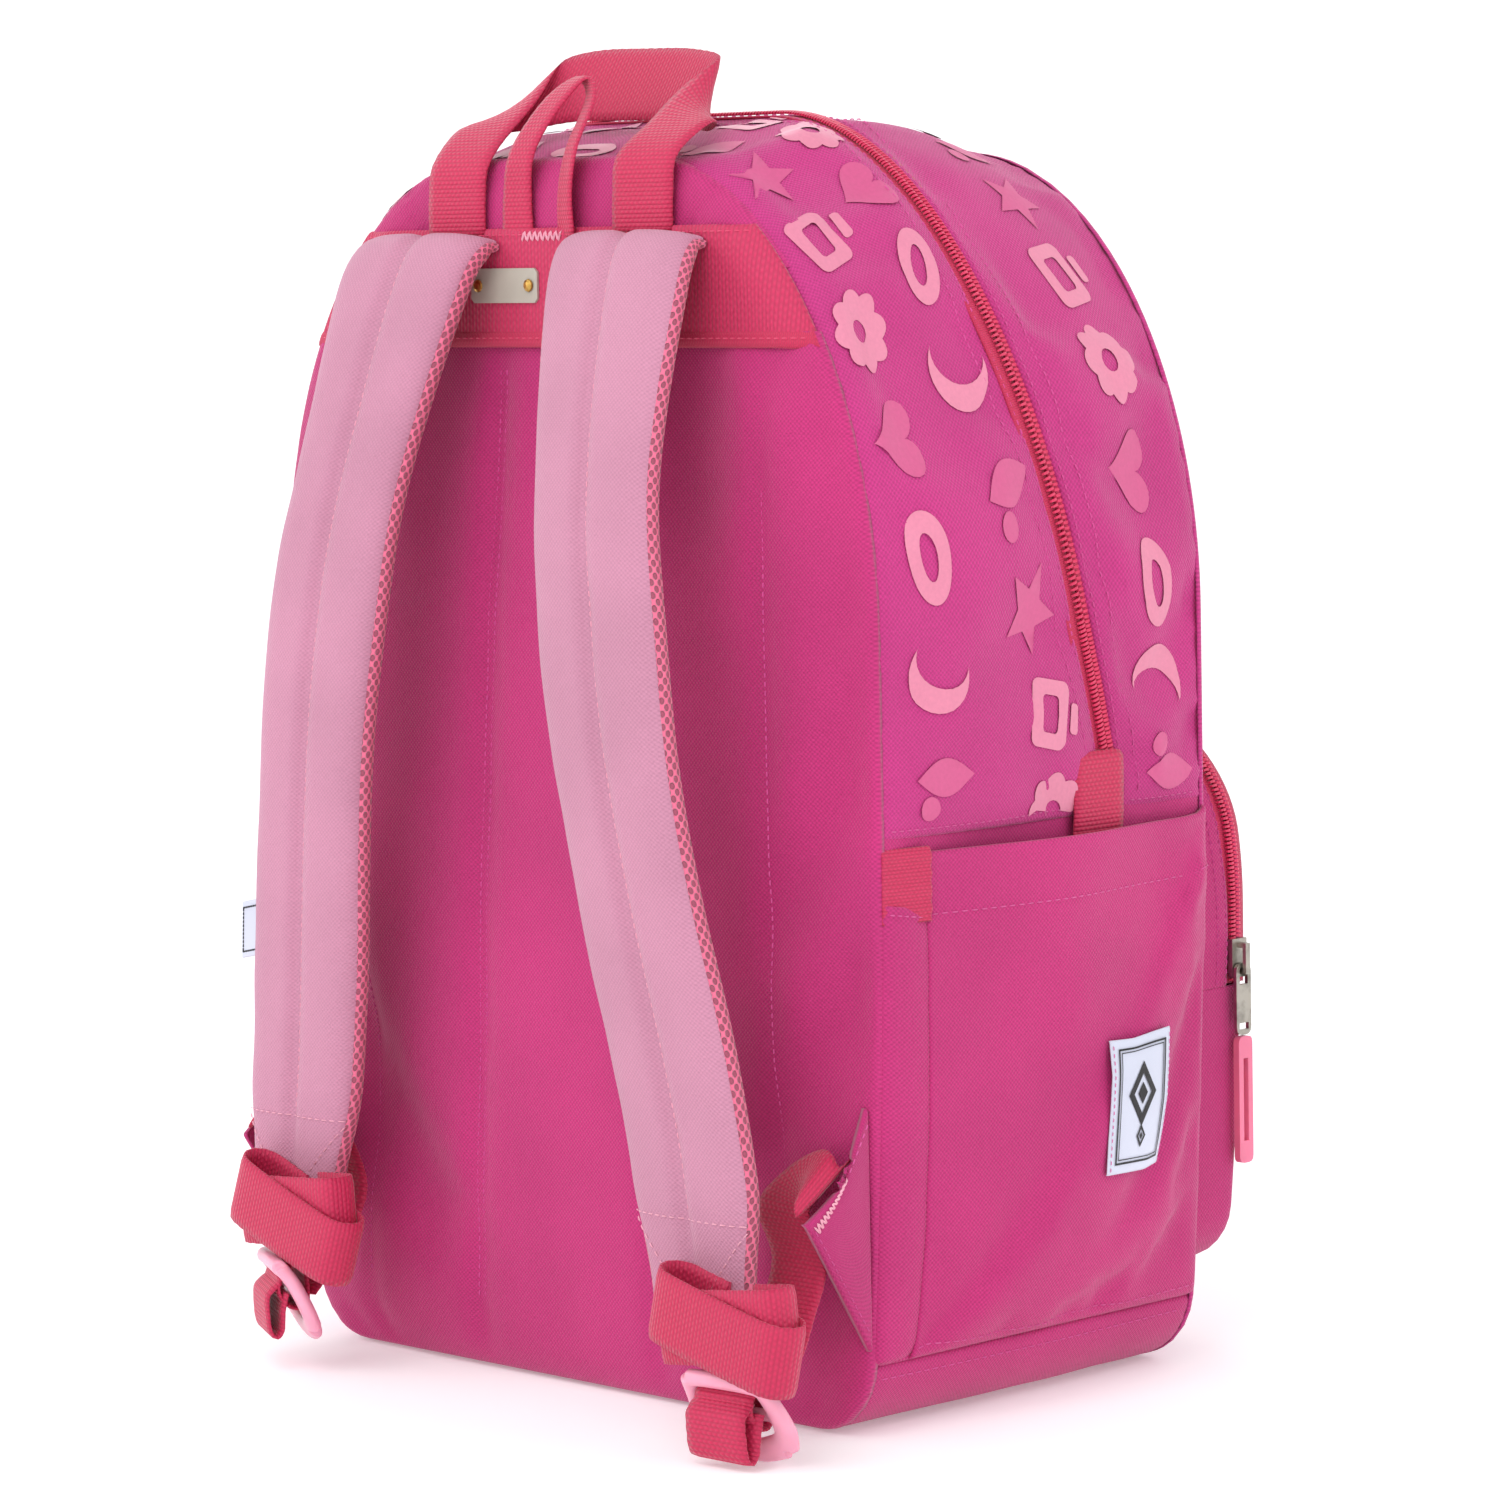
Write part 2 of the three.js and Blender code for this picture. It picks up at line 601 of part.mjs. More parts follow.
// ---- Zip sliders with their pullers and moulded pulls ----
// Made in a frame where +X is away from the bag, +Z is up along the zip and the origin is on the
// fabric's surface. `lift` raises the bail above the plate; `tilt` swings the hanging pull outwards.
function sliderParts(lift, tilt) {
  const plate = new THREE.BoxGeometry(2, 8, 14).translate(1 + GAP, 0, 0);
  const base = GAP + 1.8;
  const window = base + 2.6 + lift;
  const bail = shapeOf([
    [base, -5.6],
    [window + 1.5, -5.6],
    [window + 1.5, 5.6],
    [base, 5.6],
    [base, 3.8],
    [window, 3.8],
    [window, -3.8],
    [base, -3.8],
  ]);
  const arch = new THREE.ExtrudeGeometry(bail, { depth: 2.4, bevelEnabled: false });
  arch.rotateX(Math.PI / 2).translate(0, 1.2, 0);
  const body = geometryOf(manifoldOf(plate).add(manifoldOf(arch)));

  const wire = 0.8; // the puller's top wire hangs in the bail's window
  const pivot = vec(window - 1.3, 0, -2.6);
  const puller = roundedPlate(PULLER.width, PULLER.length, 3);
  puller.holes.push(holePath(0, -4.6, 4.4, 6), holePath(0, -PULLER.length + 3.2, 5, 2.4));
  const pull = roundedPlate(7.5, PULLER.strap, 2.5);
  pull.holes.push(holePath(0, -PULLER.strap / 2, 2.6, PULLER.strap - 16));
  const hang = (geometry, thickness, drop) =>
    geometry.translate(-thickness / 2, 0, wire - drop).rotateY(-tilt).translate(...pivot);
  return {
    body,
    puller: hang(facingX(puller, 1.4), 1.4, 0),
    pull: hang(facingX(pull, 2.6), 2.6, PULLER.length + GAP),
  };
}

// A plate outline hanging down from z = 0, in a shape's x (here the bag's Y) and y (its Z).
function roundedPlate(width, length, radius) {
  const shape = new THREE.Shape();
  const w = width / 2;
  shape.moveTo(-w, -radius);
  shape.lineTo(-w, -length + radius);
  shape.quadraticCurveTo(-w, -length, -w + radius, -length);
  shape.lineTo(w - radius, -length);
  shape.quadraticCurveTo(w, -length, w, -length + radius);
  shape.lineTo(w, -radius);
  shape.quadraticCurveTo(w, 0, w - radius, 0);
  shape.lineTo(-w + radius, 0);
  shape.quadraticCurveTo(-w, 0, -w, -radius);
  return shape;
}

function holePath(x, y, width, height) {
  const hole = new THREE.Path();
  hole.moveTo(x - width / 2, y - height / 2);
  hole.lineTo(x + width / 2, y - height / 2);
  hole.lineTo(x + width / 2, y + height / 2);
  hole.lineTo(x - width / 2, y + height / 2);
  return hole;
}

// Extrudes a Y-Z outline along +X from x = 0.
function facingX(shape, depth) {
  const options = { depth, bevelEnabled: false, curveSegments: 3 };
  return new THREE.ExtrudeGeometry(shape, options).rotateX(Math.PI / 2).rotateZ(Math.PI / 2);
}

function addSlider(prefix, lift, tilt, place) {
  const parts = sliderParts(lift, tilt);
  add(`${prefix}_slider`, parts.body.applyMatrix4(place), NICKEL, 0.3, 0.9);
  add(`${prefix}_puller`, parts.puller.applyMatrix4(place), NICKEL, 0.3, 0.9);
  add(`${prefix}_pull_strap`, parts.pull.applyMatrix4(place), PALE_PINK, 0.5);
}

// Puts the slider's frame on a surface with this outward normal and direction up along the zip.
function seat(point, normal, up) {
  const across = up.clone().cross(normal);
  return new THREE.Matrix4().makeBasis(normal, across, up).setPosition(point);
}

function addSliders() {
  const pocketY = faceBack(SLIDER_Z.front_pocket) - ZIP_HALF;
  const pocketPoint = vec(FRONT_POCKET.half, pocketY, SLIDER_Z.front_pocket);
  addSlider("front_pocket", 0, 0, seat(pocketPoint, vec(1, 0, 0), vec(0, 0, 1)));
  // The main zip's pull hangs over the left side pocket.
  const chain = (z) => shell(-runAtHeight(z), zipY(runAtHeight(z)));
  const up = chain(SLIDER_Z.main + 1).sub(chain(SLIDER_Z.main - 1)).normalize();
  const normal = up.clone().cross(vec(0, 1, 0)).normalize();
  addSlider("main", 1.2, 0.27, seat(chain(SLIDER_Z.main), normal, up));
}

// ---- Shoulder straps, buckles and webbing ----
// Middle of each strap's outer face from its top seam to its lower end.
const STRAP_PATH = {
  right: [
    [52, -94, 406],
    [52, -101, 405.5],
    [54, -110, 398],
    [57, -118, 382],
    [61, -128, 351],
    [67, -138, 315],
    [73, -143, 280],
    [80, -145, 233],
    [88, -142, 182],
    [97, -137, 131],
    [106, -137, 92],
    [111, -139, 62],
  ],
  left: [
    [-51, -94, 406],
    [-51, -101, 405.5],
    [-52, -110, 398],
    [-53, -118, 382],
    [-57, -127, 351],
    [-63, -136, 312],
    [-68, -140, 280],
    [-75, -141, 238],
    [-84, -138, 185],
    [-93, -133, 140],
    [-100, -130, 103],
    [-104, -131, 74],
  ],
};
// Lower end of each strap: where the buckle's bar is, how far the buckle is turned about the
// vertical, and where the wound webbing sits beside and above the bar.
const STRAP_END = {
  right: { bar: [129, -147, 31], turn: 0.08, wrapShift: [2, 12] },
  left: { bar: [-109, -140, 41], turn: -0.5, wrapShift: [12, 16] },
};
const BUCKLE_LEAN = 0.5; // the buckle hangs leaning in towards the bag

function addStraps() {
  for (const side of [-1, 1]) {
    const name = sideName(side);
    const corners = STRAP_PATH[name].map((p) => vec(...p));
    const curve = new THREE.CatmullRomCurve3(corners, false, "centripetal").getPoints(22);
    const taper = (t) => STRAP_WIDTH / 2 - 5 * smooth(0.94, 1, t);
    const layer = (from, thickness) => {
      const outer = [];
      const inner = [];
      curve.forEach((p, i) => {
        const before = curve[Math.max(0, i - 1)];
        const after = curve[Math.min(curve.length - 1, i + 1)];
        const tangent = after.clone().sub(before).normalize();
        const inwards = vec(1, 0, 0).cross(tangent).normalize();
        const half = taper(i / (curve.length - 1));
        const row = (depth) =>
          [-half, 0, half].map((w) => p.clone().add(vec(w, 0, 0)).addScaledVector(inwards, depth));
        outer.push(row(from));
        inner.push(row(from + thickness));
      });
      return gridSolid(outer, inner);
    };
    add(`shoulder_strap_${name}`, layer(0, STRAP_PAD), PALE_PINK);
    add(`strap_mesh_${name}`, layer(STRAP_PAD + GAP, STRAP_MESH), MESH_PINK);
    addStrapEnd(name);
    addWing(name, side);
  }
}

function addStrapEnd(name) {
  const { bar, turn, wrapShift } = STRAP_END[name];
  const [x, y, z] = bar;
  const wrap = new THREE.BoxGeometry(56, 10, 20);
  wrap.rotateY(0.12).translate(x + wrapShift[0], y + 6.5, z + wrapShift[1] + 2);
  add(`strap_webbing_wrap_${name}`, wrap, RED_PINK);

  const { width, height, thick, webbing } = BUCKLE;
  const w = width / 2;
  const frame = shapeOf([
    [-w, 0],
    [-w * 0.9, -height],
    [w * 0.9, -height],
    [w, 0],
  ]);
  frame.holes.push(holePath(0, -6.5, webbing + 1, 5), holePath(0, -17.5, webbing + 1, 11));
  const buckle = new THREE.ExtrudeGeometry(frame, { depth: thick, bevelEnabled: false });
  buckle.rotateX(Math.PI / 2 + BUCKLE_LEAN).rotateZ(turn).translate(x, y, z);
  add(`ladder_lock_${name}`, buckle, PALE_PINK, 0.35);

  const tail = [
    vec(0, -6.8, -4),
    vec(0, -7, -12),
    vec(0, -6, -20),
    vec(0, -4.5, -27),
  ];
  const vertical = vec(0, 0, 1);
  const path = tail.map((p) => p.applyAxisAngle(vertical, turn).add(vec(x, y, z)));
  const level = vec(1, 0, 0).applyAxisAngle(vertical, turn);
  const tailSolid = ribbon(path, () => level, webbing, 2 * WEBBING);
  add(`webbing_tail_${name}`, tailSolid, RED_PINK);
}

function addWing(name, side) {
  const corners = [
    [146, -92, 113],
    [146, -103, 91],
    [145, -122, 78],
    [145, -93, 33],
  ];
  const thickness = 2.4;
  const points = corners.map(([, y, z]) => [y, z]);
  const wing = facingX(shapeOf(points), thickness);
  wing.translate(side * 143.6 - thickness / 2, 0, 0);
  add(`wing_tab_${name}`, wing, MAGENTA);

  const x = Math.abs(STRAP_END[name].bar[0]);
  const path = curvePoints(
    [
      vec(side * 140.6, -111.5, 86.5),
      vec(side * 138.5, -109.5, 90.5),
      vec(side * 133, -106, 92),
      vec(side * 124, -103.5, 87),
      vec(side * 116, -104, 77),
      vec(side * (x - 3), -107, 62),
      vec(side * (x - 2), -112, 46),
      vec(side * x, -119, 32),
    ],
    14,
  );
  const seam = vec(0, -20, -13).normalize();
  const twist = (t) => seam.clone().lerp(vec(1, 0, 0), smooth(0, 0.4, t));
  const webbing = ribbon(path, twist, BUCKLE.webbing, WEBBING);
  add(`adjuster_webbing_${name}`, webbing, RED_PINK);
}

// ---- Carry handle and hang loop ----
function addHandles() {
  const [footY, footZ] = HANDLE_FOOT;
  const half = [
    vec(47, footY, footZ),
    vec(48, footY, footZ + 10),
    vec(50, -92.6, 431),
    vec(54, -79, 442),
    vec(45, -59, 449),
    vec(24, -52, 452),
  ];
  const path = [...half, vec(0, -51, 453), ...half.map((p) => vec(-p.x, p.y, p.z)).reverse()];
  const turn = (t) => {
    const upright = vec(1, 0, 0);
    const level = vec(0, -0.75, -0.66);
    const mixed = upright.lerp(level, smooth(0.32, 0.72, Math.min(t, 1 - t) * 2));
    return t < 0.5 ? mixed : vec(mixed.x, -mixed.y, -mixed.z);
  };
  add("carry_handle", ribbon(path, turn, 30, WEBBING), RED_PINK);

  const loop = [
    vec(-16, footY, footZ),
    vec(-15.5, footY - 0.5, footZ + 10),
    vec(-12, -93.5, 432),
    vec(-5, -86, 447),
    vec(3, -79, 455),
    vec(11, -82, 448),
    vec(12, -92.5, 433),
    vec(9, footY - 1, footZ + 11),
    vec(8, footY, footZ),
  ];
  const loopTurn = (t) => vec(1, -0.25 * Math.sin(Math.PI * t), 0);
  add("hang_loop", ribbon(curvePoints(loop, 16), loopTurn, 15, 1.4), RED_PINK);
}

addBack();
addShell();
addMainZip();
addSidePockets();
addFront();
addFrontPocket();
addSliders();
addStraps();
addHandles();

export default pack;
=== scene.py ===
import math

import bpy
import numpy as np
from mathutils import Matrix, Vector, geometry, noise


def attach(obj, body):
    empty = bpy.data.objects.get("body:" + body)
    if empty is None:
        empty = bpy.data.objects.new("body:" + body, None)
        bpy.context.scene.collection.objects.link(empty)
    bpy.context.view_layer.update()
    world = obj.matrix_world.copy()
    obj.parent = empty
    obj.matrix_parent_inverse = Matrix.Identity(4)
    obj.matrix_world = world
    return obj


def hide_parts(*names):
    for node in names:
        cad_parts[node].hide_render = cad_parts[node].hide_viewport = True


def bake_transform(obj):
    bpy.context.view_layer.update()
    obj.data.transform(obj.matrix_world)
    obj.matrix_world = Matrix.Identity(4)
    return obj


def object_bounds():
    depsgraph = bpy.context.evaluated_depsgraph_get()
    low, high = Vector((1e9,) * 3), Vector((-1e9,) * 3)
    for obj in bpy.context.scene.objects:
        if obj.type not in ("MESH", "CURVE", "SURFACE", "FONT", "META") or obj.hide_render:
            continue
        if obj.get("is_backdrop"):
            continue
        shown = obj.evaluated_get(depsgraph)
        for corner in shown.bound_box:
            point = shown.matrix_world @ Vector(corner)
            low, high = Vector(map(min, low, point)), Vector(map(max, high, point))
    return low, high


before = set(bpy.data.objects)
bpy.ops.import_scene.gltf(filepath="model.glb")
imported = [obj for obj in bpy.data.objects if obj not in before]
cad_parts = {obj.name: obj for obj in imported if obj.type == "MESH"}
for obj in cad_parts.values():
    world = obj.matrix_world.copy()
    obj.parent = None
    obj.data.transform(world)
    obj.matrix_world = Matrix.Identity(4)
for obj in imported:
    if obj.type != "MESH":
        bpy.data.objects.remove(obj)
CAD_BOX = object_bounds()

# Lengths are in millimetres until a mesh is made, in the frame of the CAD: +Z up, the back panel
# faces -Y, the front pocket +Y, and the origin is the middle of the base.
MM = 0.001

# ---- The bag's shape, as in the CAD ----
GAP = 0.4
HEIGHT = 430
HALF_WIDTH = 149
BASE_HALF_WIDTH = 142
WAIST_Z = 200
TOP_HALF_FLAT = 40
SHOULDER_Z = 269
SHOULDER_RUN = 215
BASE_RADIUS = 28
Y_BACK = -88.6
Y_FRONT = 75
CROWN = 14
SIDE_BOW = 2
SIDE_HOLLOW = 5
BASE_SEAM_Z = 25
POCKET_SEAM_Z = 205
ZIP_LOW_Z = 215
ZIP_LOW_Y = 26.1
ZIP_SWEEP = 46
ZIP_HALF = 4
BAND_LOW_Z = 366
BAND_HIGH_Z = 405
SIDE_POCKET_TOP_Z = 200
SIDE_POCKET_STEP_Y = -72
SIDE_POCKET_STEP_Z = 181
SIDE_POCKET_FULLNESS = 9
LABEL = {"half_width": 16.5, "half_height": 23.5, "y": 24, "z": 104, "lean": 0.05}
POCKET_HALF = 130
POCKET_LOW = 30
POCKET_TOP = 240
CROWN_RADIUS = 55
FOOT_RADIUS = 20
POCKET_ZIP_Z = 130
POCKET_FACE = 121
POCKET_FULL_Z = 160
SIDE_START = TOP_HALF_FLAT + SHOULDER_RUN
CORNER_START = SIDE_START + SHOULDER_Z - BASE_RADIUS
CORNER_RUN = math.pi / 2 * BASE_RADIUS
HALF_RUN = CORNER_START + CORNER_RUN + BASE_HALF_WIDTH - BASE_RADIUS


def clamp01(t):
    return min(1.0, max(0.0, t))


def smooth(a, b, t):
    t = clamp01((t - a) / (b - a))
    return t * t * (3 - 2 * t)


def half_width(z):
    rise = clamp01((z - BASE_RADIUS) / (WAIST_Z - BASE_RADIUS))
    return BASE_HALF_WIDTH + (HALF_WIDTH - BASE_HALF_WIDTH) * math.sin(math.pi / 2 * rise)


def outline(d):
    """Point (x, z) of the back's outline at distance d from the middle of its top."""
    wrapped = d - 2 * HALF_RUN if d > HALF_RUN else d
    side = 1 if wrapped >= 0 else -1
    run = abs(wrapped)
    if run <= TOP_HALF_FLAT:
        return wrapped, HEIGHT
    if run <= SIDE_START:
        angle = math.pi / 2 * (1 - (run - TOP_HALF_FLAT) / SHOULDER_RUN)
        x = TOP_HALF_FLAT + (HALF_WIDTH - TOP_HALF_FLAT) * math.cos(angle)
        return side * x, SHOULDER_Z + (HEIGHT - SHOULDER_Z) * math.sin(angle)
    if run <= CORNER_START:
        z = SHOULDER_Z - (run - SIDE_START)
        return side * half_width(z), z
    centre = BASE_HALF_WIDTH - BASE_RADIUS
    if run <= CORNER_START + CORNER_RUN:
        angle = (run - CORNER_START) / BASE_RADIUS
        return (side * (centre + BASE_RADIUS * math.cos(angle)),
                BASE_RADIUS - BASE_RADIUS * math.sin(angle))
    return side * (HALF_RUN - run), 0


def run_at(z):
    return SIDE_START + SHOULDER_Z - z


def outline_half(z):
    """Half the width of the back at height z."""
    if z > SHOULDER_Z:
        rise = clamp01((z - SHOULDER_Z) / (HEIGHT - SHOULDER_Z))
        return TOP_HALF_FLAT + (HALF_WIDTH - TOP_HALF_FLAT) * math.sqrt(1 - rise * rise)
    if z < BASE_RADIUS:
        drop = BASE_RADIUS - z
        return BASE_HALF_WIDTH - BASE_RADIUS + math.sqrt(BASE_RADIUS ** 2 - drop ** 2)
    return half_width(z)


def fullness(y):
    return math.sin(math.pi * clamp01((y - Y_BACK) / (Y_FRONT - Y_BACK)))


def shell(d, y):
    x, z = outline(d)
    lift = CROWN * clamp01((z - SHOULDER_Z) / (HEIGHT - SHOULDER_Z))
    sink = SIDE_HOLLOW * smooth(BASE_SEAM_Z, 70, z) * (1 - smooth(160, POCKET_SEAM_Z, z))
    bow = SIDE_BOW * smooth(POCKET_SEAM_Z, 250, z) - sink
    side = (x > 0) - (x < 0)
    return Vector((x + side * bow * fullness(y), y, z + lift * fullness(y)))


def zip_y(d):
    rise = clamp01((outline(d)[1] - ZIP_LOW_Z) / (HEIGHT - ZIP_LOW_Z))
    return ZIP_LOW_Y - ZIP_SWEEP * (1 - (1 - rise) ** 1.4)


def pocket_half(z):
    if z > POCKET_TOP - CROWN_RADIUS:
        rise = z - POCKET_TOP + CROWN_RADIUS
        return POCKET_HALF - CROWN_RADIUS + math.sqrt(max(0, CROWN_RADIUS ** 2 - rise ** 2))
    if z < POCKET_LOW + FOOT_RADIUS:
        drop = POCKET_LOW + FOOT_RADIUS - z
        return POCKET_HALF - FOOT_RADIUS + math.sqrt(max(0, FOOT_RADIUS ** 2 - drop ** 2))
    return POCKET_HALF


def face_y(z):
    below = clamp01((POCKET_FULL_Z - z) / (POCKET_FULL_Z - POCKET_LOW))
    above = clamp01((z - POCKET_FULL_Z) / (POCKET_TOP - POCKET_FULL_Z))
    return POCKET_FACE - 9 * below * below - 22 * above * above


FLAT_RUN = POCKET_HALF - CROWN_RADIUS
CROWN_ARC = math.pi / 2 * CROWN_RADIUS
FOOT_ARC = math.pi / 2 * FOOT_RADIUS
SIDE_LENGTH = POCKET_TOP - CROWN_RADIUS - POCKET_LOW - FOOT_RADIUS
POCKET_HALF_RUN = FLAT_RUN + CROWN_ARC + SIDE_LENGTH + FOOT_ARC + POCKET_HALF - FOOT_RADIUS


def pocket_outline(d):
    """Point (x, z) round the front pocket at distance d from the middle of its top."""
    if d > POCKET_HALF_RUN:
        x, z = pocket_outline(2 * POCKET_HALF_RUN - d)
        return -x, z
    side = 1 if d >= 0 else -1
    run = abs(d)
    if run <= FLAT_RUN:
        return d, POCKET_TOP
    run -= FLAT_RUN
    if run <= CROWN_ARC:
        a = run / CROWN_RADIUS
        return (side * (FLAT_RUN + CROWN_RADIUS * math.sin(a)),
                POCKET_TOP - CROWN_RADIUS + CROWN_RADIUS * math.cos(a))
    run -= CROWN_ARC
    if run <= SIDE_LENGTH:
        return side * POCKET_HALF, POCKET_TOP - CROWN_RADIUS - run
    run -= SIDE_LENGTH
    if run <= FOOT_ARC:
        a = run / FOOT_RADIUS
        return (side * (POCKET_HALF - FOOT_RADIUS * (1 - math.cos(a))),
                POCKET_LOW + FOOT_RADIUS - FOOT_RADIUS * math.sin(a))
    return side * (POCKET_HALF_RUN - abs(d)), POCKET_LOW


def pocket_run_at(z):
    return FLAT_RUN + CROWN_ARC + POCKET_TOP - CROWN_RADIUS - z


# ---- Materials ----
def linear(rgb):
    """Display colour 0-255 to scene-linear RGBA."""
    out = []
    for c in rgb:
        c /= 255
        out.append(c / 12.92 if c <= 0.04045 else ((c + 0.055) / 1.055) ** 2.4)
    return (*out, 1.0)


def shade(rgba, factor):
    """A colour made darker or lighter, and no brighter than white."""
    return tuple(min(1, c * factor) for c in rgba[:3]) + (1.0,)


class Nodes:
    """A material's node tree, with short calls that add nodes and join them."""

    def __init__(self, name, roughness, metallic=0.0):
        self.material = bpy.data.materials.new(name)
        self.material.use_nodes = True
        self.tree = self.material.node_tree
        self.shader = self.tree.nodes["Principled BSDF"]
        self.shader.inputs["Roughness"].default_value = roughness
        self.shader.inputs["Metallic"].default_value = metallic

    def set(self, **values):
        for key, value in values.items():
            self.shader.inputs[key.replace("_", " ")].default_value = value

    def put(self, socket, value):
        if isinstance(value, bpy.types.NodeSocket):
            self.tree.links.new(value, socket)
        else:
            socket.default_value = value

    def add(self, kind, *inputs, **props):
        node = self.tree.nodes.new(kind)
        named = props.pop("named", {})
        for key, value in props.items():
            setattr(node, key, value)
        for socket, value in zip(node.inputs, inputs):
            if value is not None:
                self.put(socket, value)
        for key, value in named.items():
            self.put(node.inputs[key], value)
        return node

    def math(self, op, a, b=None):
        return self.add("ShaderNodeMath", a, b, operation=op).outputs[0]

    def ramp(self, value, low, high):
        node = self.add("ShaderNodeMapRange", value, low, high, 0.0, 1.0)
        node.interpolation_type = "SMOOTHSTEP"
        return node.outputs[0]

    def mix(self, factor, a, b):
        node = self.add("ShaderNodeMix", data_type="RGBA")
        self.put(node.inputs["Factor"], factor)
        self.put(node.inputs[6], a)
        self.put(node.inputs[7], b)
        return node.outputs[2]

    def noise(self, where, scale, detail=3.0, rough=0.55):
        named = {"Vector": where, "Scale": scale, "Detail": detail, "Roughness": rough}
        return self.add("ShaderNodeTexNoise", named=named).outputs["Fac"]

    def uv(self):
        """The cloth's own coordinates, in millimetres across and along."""
        uv = self.add("ShaderNodeTexCoord").outputs["UV"]
        xyz = self.add("ShaderNodeSeparateXYZ", uv)
        return (self.math("MULTIPLY", xyz.outputs[0], 1000.0),
                self.math("MULTIPLY", xyz.outputs[1], 1000.0))

    def place(self):
        return self.add("ShaderNodeTexCoord").outputs["Object"]

    def wave(self, length, pitch):
        return self.math("SINE", self.math("MULTIPLY", length, math.pi / pitch))

    def bump(self, height, strength, distance):
        named = {"Strength": strength, "Distance": distance, "Height": height}
        node = self.add("ShaderNodeBump", named=named)
        self.tree.links.new(node.outputs[0], self.shader.inputs["Normal"])

    def colour(self, value):
        self.tree.links.new(value, self.shader.inputs["Base Color"])


def woven(name, rgb, pitch=0.8, contrast=0.2, strength=0.6, roughness=0.7, sheen=0.2):
    """Plain-weave cloth: yarns over and under, with a slow change of tone."""
    n = Nodes(name, roughness)
    u, v = n.uv()
    wobble = n.math("MULTIPLY", n.noise(n.place(), 900.0, 1.0), 0.9)
    yarn = n.math("MULTIPLY", n.wave(n.math("ADD", u, wobble), pitch), n.wave(v, pitch))
    height = n.math("ADD", n.math("MULTIPLY", yarn, 0.5), 0.5)
    base = linear(rgb)
    weave = n.mix(height, shade(base, 1 - contrast), shade(base, 1 + contrast))
    slow = n.ramp(n.noise(n.place(), 14.0, 2.0), 0.3, 0.7)
    tone = n.mix(slow, (0.93, 0.93, 0.93, 1), (1.05, 1.05, 1.05, 1))
    mixed = n.add("ShaderNodeMix", data_type="RGBA", blend_type="MULTIPLY")
    n.put(mixed.inputs["Factor"], 1.0)
    n.put(mixed.inputs[6], weave)
    n.put(mixed.inputs[7], tone)
    n.colour(mixed.outputs[2])
    n.bump(n.math("ADD", height, n.math("MULTIPLY", wobble, 0.5)), strength, 0.0004)
    n.set(Sheen_Weight=sheen, Sheen_Roughness=0.45, Specular_IOR_Level=0.3)
    return n.material


def ribbed(name, rgb, rib=1.5, end=1.1, contrast=0.2, strength=0.6):
    """Webbing: thick ribs across its length, broken up by the warp ends."""
    n = Nodes(name, 0.6)
    u, v = n.uv()
    rows = n.math("ABSOLUTE", n.wave(v, rib))
    step = n.math("MULTIPLY", n.wave(v, rib), 0.6)
    ends = n.wave(n.math("ADD", u, step), end)
    height = n.math("MULTIPLY", rows, n.math("ADD", n.math("MULTIPLY", ends, 0.3), 0.7))
    base = linear(rgb)
    n.colour(n.mix(height, shade(base, 1 - contrast), shade(base, 1 + contrast * 0.5)))
    n.bump(height, strength, 0.0006)
    n.set(Sheen_Weight=0.2, Sheen_Roughness=0.4)
    return n.material


def spacer(name, rgb):
    """Knitted 3-D mesh with staggered open cells, whose holes carry painted shade: a darker colour
    where the shade inside them falls.
    """
    n = Nodes(name, 0.7)
    u, v = n.uv()
    cell_u, cell_v = 3.2, 4.4

    def cell(shift):
        a = n.math("PINGPONG", n.math("ADD", u, shift * cell_u / 2), cell_u / 2)
        b = n.math("PINGPONG", n.math("ADD", v, shift * cell_v / 2), cell_v / 2)
        a = n.math("DIVIDE", a, cell_u / 2)
        b = n.math("DIVIDE", b, cell_v / 2)
        return n.math("ADD", n.math("MULTIPLY", a, a), n.math("MULTIPLY", b, b))

    near = n.math("MINIMUM", cell(0), cell(1))
    solid = n.ramp(near, 0.18, 0.34)
    base = linear(rgb)
    # Painted shade: the holes take 0.42 of the yarn colour, for the shade inside the open cells.
    n.colour(n.mix(solid, shade(base, 0.42), base))
    n.bump(solid, 1.0, 0.0012)
    n.set(Sheen_Weight=0.3)
    return n.material


def moulded(name, rgb, roughness, subsurface=0.0, grain=0.02):
    """Plastic and rubber, and the name plate drawn as a non-metal grey with a painted reflection, all
    with slightly worn patches and a fine grain.
    """
    n = Nodes(name, roughness)
    base = linear(rgb)
    n.colour(n.mix(n.ramp(n.noise(n.place(), 60.0), 0.35, 0.7), base, shade(base, 1.12)))
    n.bump(n.noise(n.place(), 1500.0, 2.0), grain, 0.0003)
    n.set(Subsurface_Weight=subsurface, Subsurface_Scale=0.002)
    return n.material


def metal(name, rgb, roughness):
    """Plated metal with fine brushing and darker, rubbed patches."""
    n = Nodes(name, roughness, 1.0)
    stretch = n.add("ShaderNodeMapping", n.place())
    stretch.inputs["Scale"].default_value = (1, 1, 18)
    brushed = n.noise(stretch.outputs[0], 380.0, 2.0)
    base = linear(rgb)
    n.colour(n.mix(n.ramp(n.noise(n.place(), 160.0), 0.35, 0.65), shade(base, 0.62), base))
    n.bump(brushed, 0.12, 0.0002)
    return n.material


def plain(name, rgb, roughness=0.7, sheen=0.0):
    """Thread and ink: one colour with a fine grain."""
    n = Nodes(name, roughness)
    base = linear(rgb)
    n.colour(n.mix(n.noise(n.place(), 700.0, 1.0), shade(base, 0.86), base))
    n.bump(n.noise(n.place(), 1200.0, 1.0), 0.15, 0.0003)
    n.set(Sheen_Weight=sheen)
    return n.material


